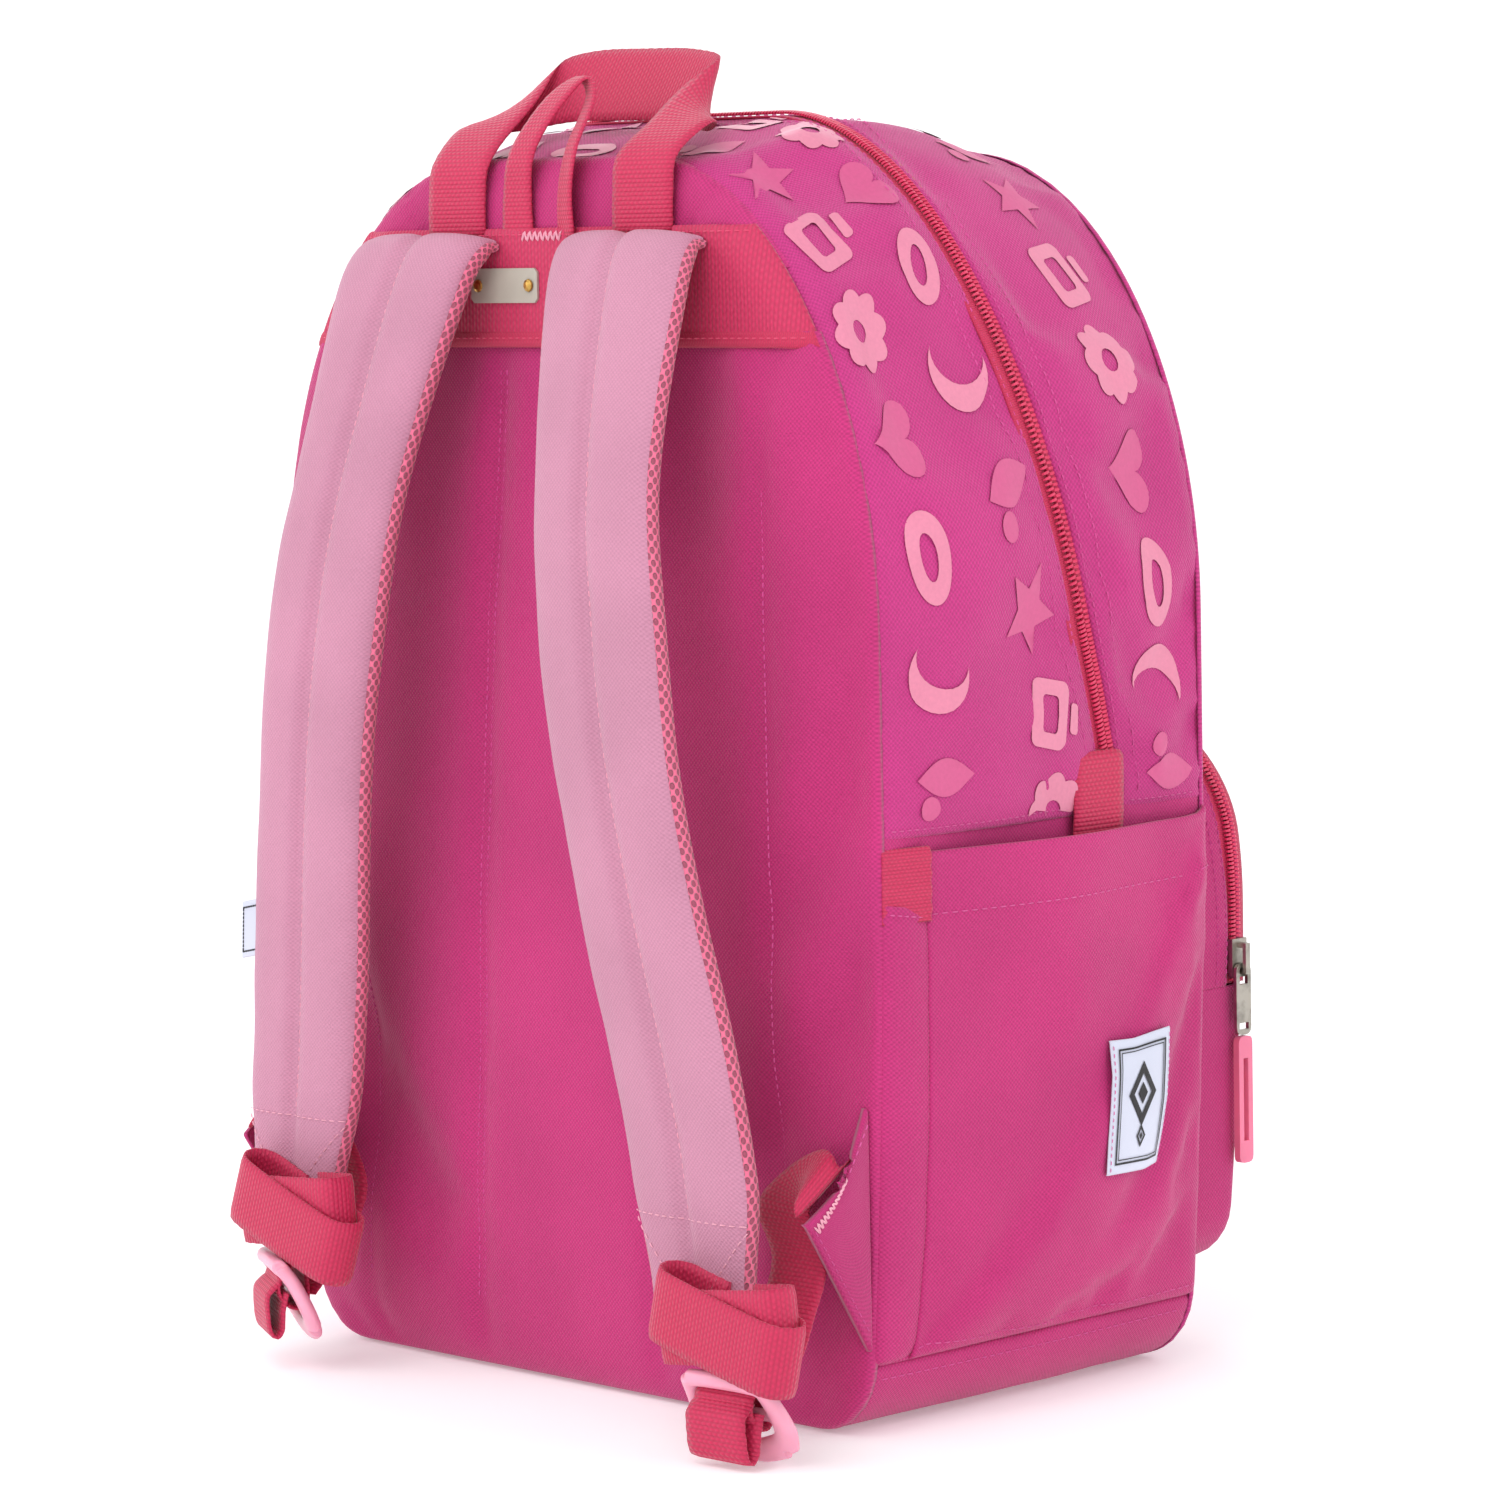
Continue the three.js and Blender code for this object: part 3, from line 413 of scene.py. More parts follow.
MAGENTA = (187, 42, 112)
RED_PINK = (198, 30, 80)
STRAP_PINK = (192, 131, 156)
MAIN = woven("main_fabric", MAGENTA)
PRINTED = woven("printed_fabric", (188, 48, 122))
STRAP = woven("strap_fabric", STRAP_PINK, contrast=0.1, strength=0.5)
WEB = ribbed("webbing", RED_PINK)
BAND = ribbed("band_webbing", (198, 34, 86), rib=1.7, end=1.3)
ELASTIC = ribbed("elastic", (198, 34, 84), rib=1.2, end=0.9)
MESH = spacer("spacer_mesh", (226, 104, 138))
TAPE = ribbed("zip_tape", (196, 30, 80), rib=0.8, end=0.7, contrast=0.2, strength=0.4)
COIL = moulded("zip_coil", (206, 38, 84), 0.38)
NICKEL = metal("nickel", (176, 170, 160), 0.34)
# The name plate is satin metal drawn as a non-metal light grey: its lightness is a painted reflection
# of the bright studio, in place of metal that would mirror the dark strap.
PLATE = moulded("plate_painted_reflection", (176, 170, 158), 0.36, grain=0.05)
BRASS = metal("brass", (214, 172, 92), 0.3)
BUCKLE = moulded("buckle_plastic", (236, 160, 184), 0.28, subsurface=0.15)
PULL = moulded("pull_rubber", (226, 118, 148), 0.5, subsurface=0.1, grain=0.06)
SATIN = woven("label_satin", (206, 210, 226), pitch=0.35, contrast=0.05, strength=0.12, roughness=0.4)
INK = plain("label_ink", (24, 22, 26), 0.5)
THREAD = plain("thread_magenta", (214, 74, 150), 0.55, 0.3)
THREAD_RED = plain("thread_red", (232, 60, 112), 0.55, 0.3)
THREAD_PALE = plain("thread_pale", (244, 176, 196), 0.55, 0.3)
PRINT_PALE = plain("print_pale", (224, 132, 160), 0.4)
PRINT_MID = plain("print_mid", (208, 84, 136), 0.46)
FOAM = plain("foam", (104, 104, 110), 0.95)


# ---- Mesh helpers ----
def make(name, verts, faces, material, uvs=None, smoothed=True):
    """A mesh from points in millimetres; uvs holds one (u, v) in millimetres for each point."""
    mesh = bpy.data.meshes.new(name)
    mesh.from_pydata([tuple(c * MM for c in v) for v in verts], [], faces)
    if uvs:
        layer = mesh.uv_layers.new(name="cloth")
        for loop in mesh.loops:
            u, v = uvs[loop.vertex_index]
            layer.data[loop.index].uv = (u * MM, v * MM)
    mesh.polygons.foreach_set("use_smooth", [smoothed] * len(mesh.polygons))
    mesh.update()
    obj = bpy.data.objects.new(name, mesh)
    bpy.context.collection.objects.link(obj)
    obj.data.materials.append(material)
    return obj


def grid_solid(outer, inner, closed=False):
    """Points and faces of a solid between two grids; closed joins the last row to the first."""
    rows, cols = len(outer), len(outer[0])
    verts = [p for row in outer for p in row] + [p for row in inner for p in row]
    count = rows * cols
    faces = []
    spans = rows if closed else rows - 1
    for i in range(spans):
        k = (i + 1) % rows
        for j in range(cols - 1):
            a, b = i * cols + j, k * cols + j
            faces.append((a, b, b + 1, a + 1))
            faces.append((count + a, count + a + 1, count + b + 1, count + b))
        for j in (0, cols - 1):
            a, b = i * cols + j, k * cols + j
            rim = (a, count + a, count + b, b)
            faces.append(rim if j == 0 else rim[::-1])
    if not closed:
        for i in (0, rows - 1):
            for j in range(cols - 1):
                a = i * cols + j
                rim = (a, a + 1, count + a + 1, count + a)
                faces.append(rim if i == 0 else rim[::-1])
    return verts, faces


def outward(obj):
    """Turns a closed mesh's faces outwards."""
    mesh = obj.data
    volume = 0.0
    for poly in mesh.polygons:
        points = [mesh.vertices[i].co for i in poly.vertices]
        for k in range(1, len(points) - 1):
            volume += points[0].dot(points[k].cross(points[k + 1]))
    if volume < 0:
        mesh.flip_normals()
    return obj


def stations(a, b, step, rims=(0.7, 1.8, 3.2)):
    """Values from a to b about step apart, with finer ones near both ends."""
    span = abs(b - a)
    count = max(2, round(span / step))
    values = [a + (b - a) * i / count for i in range(count + 1)]
    for rim in rims:
        if rim < span / 2:
            way = math.copysign(rim, b - a)
            values += [a + way, b - way]
    return sorted(set(round(v, 3) for v in values), reverse=b < a)


def towards_axis(p):
    return Vector((-p.x, 0, 215 - p.z))


# The settling cloth is light, springy and well damped.
CLOTH = {"quality": 5, "mass": 0.2, "tension_stiffness": 12, "compression_stiffness": 12,
         "shear_stiffness": 6, "bending_stiffness": 3.0, "tension_damping": 8, "air_damping": 3,
         "vertex_group_mass": "sewn"}
SETTLE_FRAMES = 22


def settled(cloth, slack, push, gravity):
    """Runs the cloth simulation on a coarse sheet and returns where its points end, in mm."""
    mod = cloth.modifiers.new("cloth", "CLOTH")
    for key, value in CLOTH.items():
        setattr(mod.settings, key, value)
    mod.settings.shrink_min = -slack
    mod.settings.use_pressure = push > 0
    mod.settings.uniform_pressure_force = push
    mod.settings.effector_weights.gravity = gravity
    mod.collision_settings.use_collision = False
    mod.point_cache.frame_start = 1
    mod.point_cache.frame_end = SETTLE_FRAMES
    scene = bpy.context.scene
    for frame_number in range(1, SETTLE_FRAMES + 1):
        scene.frame_set(frame_number)
    result = cloth.evaluated_get(bpy.context.evaluated_depsgraph_get())
    ends = np.array([v.co[:] for v in result.to_mesh().vertices]) / MM
    result.to_mesh_clear()
    bpy.data.objects.remove(cloth, do_unlink=True)
    scene.frame_set(1)
    return ends


class Surface:
    """A panel's outer face: fn(u, v) in mm, with rolled edges, soft waves and some relief.

    span(u) gives the first and last v. roll holds how far each edge (first u, last u, first v,
    last v) turns in. core(p) points from the surface to the inside.
    """

    def __init__(self, fn, u, span, core=towards_axis, roll=(0, 0, 0, 0), wave=0.0, size=55,
                 seed=0, relief=None, free=(0, 0, 0, 0)):
        self.fn, self.u, self.span, self.core = fn, u, span, core
        self.roll, self.wave, self.size, self.seed = roll, wave, size, seed
        self.relief, self.free = relief, free
        self.drape = None

    def edges(self, u, v):
        """Distances from (u, v) to the four edges."""
        v0, v1 = self.span(u)
        return [abs(u - self.u[0]), abs(self.u[1] - u), abs(v - v0), abs(v1 - v)]

    def normal(self, u, v):
        """The plain face's point at (u, v), and its direction away from the inside."""
        h = 0.4
        p = self.fn(u, v)
        du = self.fn(u + h, v) - self.fn(u - h, v)
        dv = self.fn(u, v + h) - self.fn(u, v - h)
        n = du.cross(dv).normalized()
        return p, (-n if n.dot(self.core(p)) > 0 else n)

    def at(self, u, v, lift=0.0):
        """The finished face's point at (u, v), raised by lift."""
        p, n = self.normal(u, v)
        move = lift
        calm = 1.0
        for distance, radius, loose in zip(self.edges(u, v), self.roll, self.free):
            if radius and distance < 2 * radius:
                t = 1 - distance / (2 * radius)
                move -= radius * (1 - math.sqrt(max(0.0, 1 - t * t)))
            if not loose:
                calm *= smooth(0, 22, distance)
        if self.wave:
            s = Vector((p.x, p.y, p.z)) / self.size + Vector((self.seed, 0, 0))
            move += self.wave * calm * (noise.noise(s) + 0.4 * noise.noise(s * 2.3))
        if self.relief:
            move += self.relief(u, v)
        return p + n * move + self.sagged(u, v)

    def sagged(self, u, v):
        """How far the settled cloth has moved at (u, v)."""
        if self.drape is None:
            return Vector((0, 0, 0))
        grid, rows, cols = self.drape
        v0, v1 = self.span(u)
        a = clamp01((u - self.u[0]) / (self.u[1] - self.u[0])) * rows
        b = clamp01((v - v0) / (v1 - v0)) * cols
        i, j = min(rows - 1, int(a)), min(cols - 1, int(b))
        a, b = a - i, b - j
        near = grid[i, j] * (1 - b) + grid[i, j + 1] * b
        far = grid[i + 1, j] * (1 - b) + grid[i + 1, j + 1] * b
        return Vector(near * (1 - a) + far * a)

    def settle(self, step, slack, push, gravity, cap):
        """Lets slack cloth, sewn down at its edges, sag and swell, and keeps how it moved.

        step is the sheet's mesh size and cap the furthest that a point may move, both in mm.
        """
        u0, u1 = self.u
        middle = self.span((u0 + u1) / 2)
        rows = max(4, round(abs(u1 - u0) / step))
        cols = max(4, round(abs(middle[1] - middle[0]) / step))
        points, pins, faces = [], [], []
        for i in range(rows + 1):
            u = u0 + (u1 - u0) * i / rows
            v0, v1 = self.span(u)
            for j in range(cols + 1):
                ends = (i == 0, i == rows, j == 0, j == cols)
                if any(end and not loose for end, loose in zip(ends, self.free)):
                    pins.append(len(points))
                points.append(self.at(u, v0 + (v1 - v0) * j / cols))
                if i < rows and j < cols:
                    a = i * (cols + 1) + j
                    b = a + cols + 1
                    faces.append((a, b, b + 1, a + 1))
        cloth = make("settling", points, faces, MAIN)
        _, n = self.normal((u0 + u1) / 2, (middle[0] + middle[1]) / 2)
        if cloth.data.polygons[(rows // 2) * cols + cols // 2].normal.dot(n) < 0:
            cloth.data.flip_normals()
        cloth.vertex_groups.new(name="sewn").add(pins, 1.0, "REPLACE")
        moved = settled(cloth, slack, push, gravity) - np.array([p[:] for p in points])
        length = np.linalg.norm(moved, axis=1, keepdims=True)
        moved *= np.minimum(1.0, cap / np.maximum(length, 1e-6))
        self.drape = (moved.reshape(rows + 1, cols + 1, 3), rows, cols)

    def panel(self, name, material, step=5.0, thick=1.6, uv_turn=False):
        """The closed piece under this face. uv_turn lays the weave the other way round."""
        us = stations(self.u[0], self.u[1], step)
        middle = self.span((self.u[0] + self.u[1]) / 2)
        ts = [(v - middle[0]) / (middle[1] - middle[0])
              for v in stations(middle[0], middle[1], step)]
        outer, inner, uvs = [], [], []
        for u in us:
            v0, v1 = self.span(u)
            row, deep = [], []
            for t in ts:
                v = v0 + (v1 - v0) * t
                p, n = self.normal(u, v)
                q = self.at(u, v)
                row.append(q)
                deep.append(q - n * thick)
                uvs.append((v, u) if uv_turn else (u, v))
            outer.append(row)
            inner.append(deep)
        verts, faces = grid_solid(outer, inner)
        return outward(make(name, verts, faces, material, uvs + uvs))


# ---- Stitches, webbing and print ----
class Stitches:
    """Collects single stitches and makes one object of them."""

    def __init__(self):
        self.verts, self.faces = [], []

    def one(self, a, b, n, width=0.6, height=0.45):
        """A stitch from a to b: a small raised bar whose ends sink into the cloth."""
        along = b - a
        side = along.cross(n).normalized() * (width / 2)
        start = len(self.verts)
        self.verts.append(a - n * 0.3)
        for t in (0.22, 0.78):
            m = a + along * t
            self.verts += [m - side, m + n * height, m + side]
        self.verts.append(b - n * 0.3)
        s = start
        self.faces += [(s, s + 2, s + 1), (s, s + 3, s + 2), (s, s + 1, s + 3),
                       (s + 1, s + 2, s + 5, s + 4), (s + 2, s + 3, s + 6, s + 5),
                       (s + 3, s + 1, s + 4, s + 6),
                       (s + 7, s + 4, s + 5), (s + 7, s + 5, s + 6), (s + 7, s + 6, s + 4)]

    def on(self, surface, path, pitch=3.4, length=2.5, **size):
        """A stitched line over a surface through (u, v) points."""
        for (u0, v0), (u1, v1) in zip(path, path[1:]):
            span = (surface.fn(u1, v1) - surface.fn(u0, v0)).length
            count = max(1, round(span / pitch))
            for k in range(count):
                t0 = k / count
                t1 = (k + length / pitch) / count
                ends = [(u0 + (u1 - u0) * t, v0 + (v1 - v0) * t) for t in (t0, t1)]
                _, n = surface.normal(*ends[0])
                a, b = [surface.at(*e, lift=0.12) for e in ends]
                self.one(a, b, n, **size)

    def make(self, name, material):
        return make(name, self.verts, self.faces, material, smoothed=False)


def spline(points, count):
    """A Catmull-Rom curve through the points, as count + 1 evenly spaced points."""
    p = [Vector(q) for q in points]
    p = [2 * p[0] - p[1]] + p + [2 * p[-1] - p[-2]]
    fine = []
    for i in range(1, len(p) - 2):
        for k in range(24):
            t = k / 24
            fine.append(0.5 * (2 * p[i] + (p[i + 1] - p[i - 1]) * t
                               + (2 * p[i - 1] - 5 * p[i] + 4 * p[i + 1] - p[i + 2]) * t * t
                               + (3 * p[i] - p[i - 1] - 3 * p[i + 1] + p[i + 2]) * t ** 3))
    fine.append(p[-2])
    lengths = [0.0]
    for a, b in zip(fine, fine[1:]):
        lengths.append(lengths[-1] + (b - a).length)
    out, j = [], 0
    for i in range(count + 1):
        want = lengths[-1] * i / count
        while j < len(fine) - 2 and lengths[j + 1] < want:
            j += 1
        gap = max(1e-9, lengths[j + 1] - lengths[j])
        out.append(fine[j].lerp(fine[j + 1], clamp01((want - lengths[j]) / gap)))
    return out


def webbing(name, path, across, width, thick=1.7, columns=8):
    """A woven band along a path; across(t) is the direction over its width."""
    outer, inner, uvs = [], [], []
    run = 0.0
    for i, p in enumerate(path):
        before, after = path[max(0, i - 1)], path[min(len(path) - 1, i + 1)]
        t = i / (len(path) - 1)
        side = Vector(across(t)).normalized()
        normal = (after - before).normalized().cross(side).normalized()
        if i:
            run += (p - path[i - 1]).length
        row, deep = [], []
        for j in range(columns + 1):
            w = -1 + 2 * j / columns
            half = thick / 2 * (0.45 if j in (0, columns) else 1.0)
            ripple = 0.12 * math.sin(run * 1.4 + j)
            q = p + side * (w * width / 2 + (ripple if j in (0, columns) else 0))
            row.append(q + normal * half)
            deep.append(q - normal * half)
            uvs.append((w * width / 2, run))
        outer.append(row)
        inner.append(deep)
    verts, faces = grid_solid(outer, inner)
    return outward(make(name, verts, faces, WEB, uvs + uvs))


def star(n, outer, inner, turn=90):
    """Corners of a star with n points."""
    points = []
    for i in range(2 * n):
        r = inner if i % 2 else outer
        a = math.radians(turn + 180 * i / n)
        points.append((r * math.cos(a), r * math.sin(a)))
    return points


def blob(radius, lobes, depth, count=40, squash=1.0):
    """A round, oval or lobed outline."""
    points = []
    for i in range(count):
        a = 2 * math.pi * i / count
        r = radius * (1 + depth * abs(math.sin(lobes * a / 2)))
        points.append((r * math.cos(a), squash * r * math.sin(a)))
    return points


def crescent(radius):
    """A moon's outline: its outer arc, then its inner one."""
    points = []
    for i in range(19):
        a = math.radians(60 + 240 * i / 18)
        points.append((radius * math.cos(a), radius * math.sin(a)))
    for i in range(1, 14):
        a = math.radians(286 - 212 * i / 14)
        points.append((radius * (0.38 + 0.72 * math.cos(a)), radius * 0.9 * math.sin(a)))
    return points


def heart(size):
    """A heart's outline."""
    points = []
    for i in range(36):
        a = 2 * math.pi * i / 36
        x = 16 * math.sin(a) ** 3
        y = 13 * math.cos(a) - 5 * math.cos(2 * a) - 2 * math.cos(3 * a) - math.cos(4 * a)
        points.append((size * x / 17, size * y / 17))
    return points


def leaf(size):
    """A pointed leaf's outline."""
    points = []
    for i in range(15):
        t = i / 14
        points.append((size * 0.5 * math.sin(math.pi * t), size * (2 * t - 1)))
    for i in range(1, 14):
        t = 1 - i / 14
        points.append((-size * 0.5 * math.sin(math.pi * t), size * (2 * t - 1)))
    return points


def shifted(points, dx, dy):
    return [(x + dx, y + dy) for x, y in points]


def rounded_box(w, h, r):
    """A box with rounded corners, from its half sizes."""
    points = []
    corners = ((w - r, h - r, 0), (r - w, h - r, 90), (r - w, r - h, 180), (w - r, r - h, 270))
    for cx, cy, start in corners:
        for k in range(6):
            a = math.radians(start + 90 * k / 5)
            points.append((cx + r * math.cos(a), cy + r * math.sin(a)))
    return points


# Each printed motif: its filled outlines, with the holes cut in them, and whether it is pale.
MOTIFS = [
    ([blob(9.5, 8, 0.22, 64)], [blob(3.2, 1, 0, 16)], True),
    ([star(5, 12, 5.2)], [], False),
    ([crescent(11)], [], True),
    ([heart(11)], [], False),
    ([rounded_box(10, 8, 3), shifted(rounded_box(4.5, 2, 1.4), 0, 11.4)],
     [rounded_box(5.5, 3.5, 1.5)], True),
    ([leaf(11), shifted(blob(3.6, 1, 0, 18), 8.5, -6)], [], False),
    ([blob(11.5, 1, 0, 40, 0.62)], [blob(6, 1, 0, 20, 0.45)], True),
]


PRINT_SCALE = 1.16
PRINT_LIFT = 0.5
PRINT_MARGIN = 1.5
PRINT_REACH = 14


def filled(fill, holes):
    """Points and triangles that fill an outline, with its holes left open."""
    loops = [fill] + holes
    flat = [Vector(p) for loop in loops for p in loop]
    edges, start = [], 0
    for loop in loops:
        k = len(loop)
        edges += [(start + i, start + (i + 1) % k) for i in range(k)]
        start += k
    for i in range(-4, 5):
        for j in range(-4, 5):
            flat.append(Vector((i * PRINT_REACH / 4, j * PRINT_REACH / 4)))
    points, _, triangles, *_ = geometry.delaunay_2d_cdt(flat, edges, [], 1, 1e-4)
    kept = []
    for t in triangles:
        centre = Vector((sum(points[i].x for i in t) / len(t), sum(points[i].y for i in t) / len(t)))
        if within(centre, fill) and not any(within(centre, hole) for hole in holes):
            kept.append(t)
    return points, kept


def printed(surface, spots, name, pale):
    """Flat ink shapes lying on a surface. spots lists (motif, u, v, turn, flip)."""
    u_low, u_high = sorted(surface.u)

    def inside(u, v):
        v_low, v_high = surface.span(u)
        return (v_low + PRINT_MARGIN < v < v_high - PRINT_MARGIN
                and u_low + PRINT_MARGIN < u < u_high - PRINT_MARGIN)

    verts, faces = [], []
    for motif, u0, v0, turn, flip in spots:
        fills, holes, is_pale = MOTIFS[motif]
        if is_pale != pale:
            continue
        c, s = math.cos(turn), math.sin(turn)
        for fill in fills:
            points, triangles = filled(fill, holes if fill is fills[0] else [])
            base = len(verts)
            placed = []
            for p in points:
                x, y = (-p.x if flip else p.x) * PRINT_SCALE, p.y * PRINT_SCALE
                placed.append((u0 + c * x - s * y, v0 + s * x + c * y))
            verts += [surface.at(u, v, PRINT_LIFT) for u, v in placed]
            for t in triangles:
                if all(inside(*placed[i]) for i in t):
                    faces.append(tuple(base + i for i in t))
    used = sorted({i for f in faces for i in f})
    order = {old: new for new, old in enumerate(used)}
    obj = make(name, [verts[i] for i in used], [tuple(order[i] for i in f) for f in faces],
               PRINT_PALE if pale else PRINT_MID)
    face_away(obj)
    return obj


def within(p, loop):
    """Whether a flat point lies inside a closed outline."""
    hit = False
    for (x0, y0), (x1, y1) in zip(loop, loop[1:] + loop[:1]):
        if (y0 > p.y) != (y1 > p.y) and p.x < (x1 - x0) * (p.y - y0) / (y1 - y0) + x0:
            hit = not hit
    return hit


def face_away(obj):
    """Turns each face of a flat piece away from the bag's middle."""
    middle = Vector((0, 0, 0.2))
    for poly in obj.data.polygons:
        if poly.normal.dot(poly.center - middle) < 0:
            poly.flip()
    obj.data.update()


def tube(name, rings, material, uvs=None):
    """A closed skin over rings of points, with its ends filled."""
    rows, cols = len(rings), len(rings[0])
    verts = [p for ring in rings for p in ring]
    faces = []
    for i in range(rows - 1):
        for j in range(cols):
            k = (j + 1) % cols
            a, b = i * cols, (i + 1) * cols
            faces.append((a + j, b + j, b + k, a + k))
    faces.append(tuple(range(cols))[::-1])
    faces.append(tuple((rows - 1) * cols + j for j in range(cols)))
    return outward(make(name, verts, faces, material, uvs))


def dressed(obj, nodes, slot):
    """Hides the CAD nodes that a piece replaces; its slot is not used."""
    if nodes:
        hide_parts(*nodes)
    return obj


def on_body(obj, body, *nodes, slot):
    """A piece that moves with one body."""
    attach(obj, body)
    return dressed(obj, nodes, slot)


def on_shell(obj, *nodes, slot):
    return on_body(obj, "shell", *nodes, slot=slot)


def over_flap(obj, *nodes, slot):
    """A piece of the front above the flap's hinge line."""
    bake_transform(obj)
    return dressed(obj, nodes, slot)


def over_pocket(obj, *nodes, slot):
    """A piece of the front pocket above the pocket's hinge line."""
    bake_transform(obj)
    return dressed(obj, nodes, slot)


def over_band(obj, body, *nodes, slot):
    """A piece sewn under the strap band."""
    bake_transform(obj)
    return dressed(obj, nodes, slot)


# ---- Back ----
def channel_x(side, z):
    """A sewn line of the back pad, which leans outwards as it goes down."""
    return side * (27 + 19 * clamp01((339 - z) / 279))


def back_relief(z, x):
    edge = min(outline_half(z) - abs(x), z - 2, BAND_LOW_Z - z)
    pad = 3.2 * smooth(0, 34, edge)
    for side in (-1, 1):
        away = abs(x - channel_x(side, z))
        pad -= 2.4 * math.exp(-((away / 5.5) ** 2)) * smooth(0, 20, edge)
        pad -= 1.4 * math.exp(-(((abs(x - side * 104)) / 4) ** 2)) * smooth(0, 20, edge)
    return pad


def make_back():
    core = lambda p: Vector((0, 1, 0))

    def across(z):
        return -outline_half(z), outline_half(z)

    face = lambda z, x: Vector((x, Y_BACK - 2.4, z))
    pad = Surface(face, (0.6, BAND_LOW_Z + 4), across, core, roll=(2.5, 0, 2.5, 2.5), wave=1.6,
                  size=70, relief=back_relief)
    pad.settle(step=9, slack=0.012, push=0.6, gravity=0.5, cap=3.0)
    on_shell(pad.panel("back_pad", MAIN, 5, 2.0, uv_turn=True), "back_panel", slot="main_fabric")

    def yoke_relief(z, x):
        edge = min(outline_half(z) - abs(x), HEIGHT - z)
        puff = 1.3 * smooth(0, 14, edge)
        seam = abs(abs(x) - (66 + 0.9 * (z - 405)))
        return puff - 1.6 * math.exp(-((seam / 2.5) ** 2))

    yoke_face = lambda z, x: Vector((x, Y_BACK - 1.2, z))
    yoke = Surface(yoke_face, (BAND_HIGH_Z - 14, HEIGHT - 0.6), across, core, roll=(0, 2.5, 2.5, 2.5),
                   wave=0.5, relief=yoke_relief, seed=3)
    on_shell(yoke.panel("back_yoke_pad", MAIN, 4, 2.0, uv_turn=True), "back_yoke", slot="main_fabric")

    tuck = lambda z, x: 3.4 * (1 - smooth(0, 16, outline_half(z) - abs(x)))
    band_face = lambda z, x: Vector((x, Y_BACK - 5.0 + tuck(z, x), z))
    inset = lambda z: tuple(0.995 * c for c in across(z))
    band = Surface(band_face, (BAND_LOW_Z, BAND_HIGH_Z + 0.8), inset, core,
                   roll=(0.8, 0.8, 0, 0), wave=0.5, free=(1, 1, 0, 0))
    on_shell(band.panel("yoke_band", BAND, 4, 1.8), "anchor_band", slot="webbing")

    binding_face = lambda z, x: Vector((x, Y_BACK - 5.6 + tuck(z, x), z))
    binding = Surface(binding_face, (BAND_LOW_Z - 1.5, BAND_LOW_Z + 4.5), inset, core,
                      roll=(1.2, 1.2, 0, 0), wave=0.5, free=(1, 1, 0, 0))
    on_shell(binding.panel("yoke_band_binding", TAPE, 3, 1.5), slot="webbing")

    sewn = Stitches()
    for side in (-1, 1):
        for shift in (-1.6, 1.6):
            path = [(z, channel_x(side, z) + shift) for z in range(28, 360, 10)]
            sewn.on(pad, path, width=0.5)
        sewn.on(pad, [(z, side * 104) for z in range(30, 330, 12)], width=0.5)
    on_shell(sewn.make("back_pad_stitches", THREAD), slot="main_fabric")
    red = Stitches()
    for z in (BAND_LOW_Z + 1.8, BAND_HIGH_Z - 1.5):
        width = outline_half(z) - 3
        surface = binding if z < 380 else band
        red.on(surface, [(z, -width), (z, width)], width=0.5)
    on_shell(red.make("yoke_band_stitches", THREAD_RED), slot="webbing")
    bartack(band, "hang_loop_bartack", [(403, -13), (403, 7)], (1.9, 0))


def bartack(surface, name, ends, swing, pitch=1.3):
    """A pale zigzag between two (u, v) points, swung to either side by swing."""
    (u0, v0), (u1, v1) = ends
    span = (surface.fn(u1, v1) - surface.fn(u0, v0)).length
    count = max(4, round(span / pitch))
    tack = Stitches()
    last = None
    for k in range(count + 1):
        t = k / count
        sign = 1 if k % 2 else -1
        u, v = u0 + (u1 - u0) * t + sign * swing[0], v0 + (v1 - v0) * t + sign * swing[1]
        point = surface.at(u, v, 0.3)
        if last is not None:
            tack.one(last, point, surface.normal(u, v)[1], width=0.8, height=0.6)
        last = point
    on_shell(tack.make(name, THREAD_PALE), slot="webbing")


# ---- Gussets and the main zip ----
def fabric_path(surface, v_of, u0, u1, step=8):
    count = max(2, round(abs(u1 - u0) / step))
    us = [u0 + (u1 - u0) * k / count for k in range(count + 1)]
    return [(u, v_of(u)) for u in us]


def print_spots(u0, u1, columns, v_of, step, shift, seed):
    spots = []
    for c in range(columns):
        u = u0 + (step / 2 if c % 2 else 0)
        row = 0
        while u < u1:
            motif = (3 * row + 2 * c + seed) % len(MOTIFS)
            v0, v1 = v_of(u)
            v = v0 + (v1 - v0) * (c + shift) / columns
            turn = 0.35 * math.sin(2.1 * row + 1.3 * c + seed)
            spots.append((motif, u, v, turn + (0 if u > 0 else math.pi), (row + c) % 2 == 1))
            row += 1
            u += step
    return spots


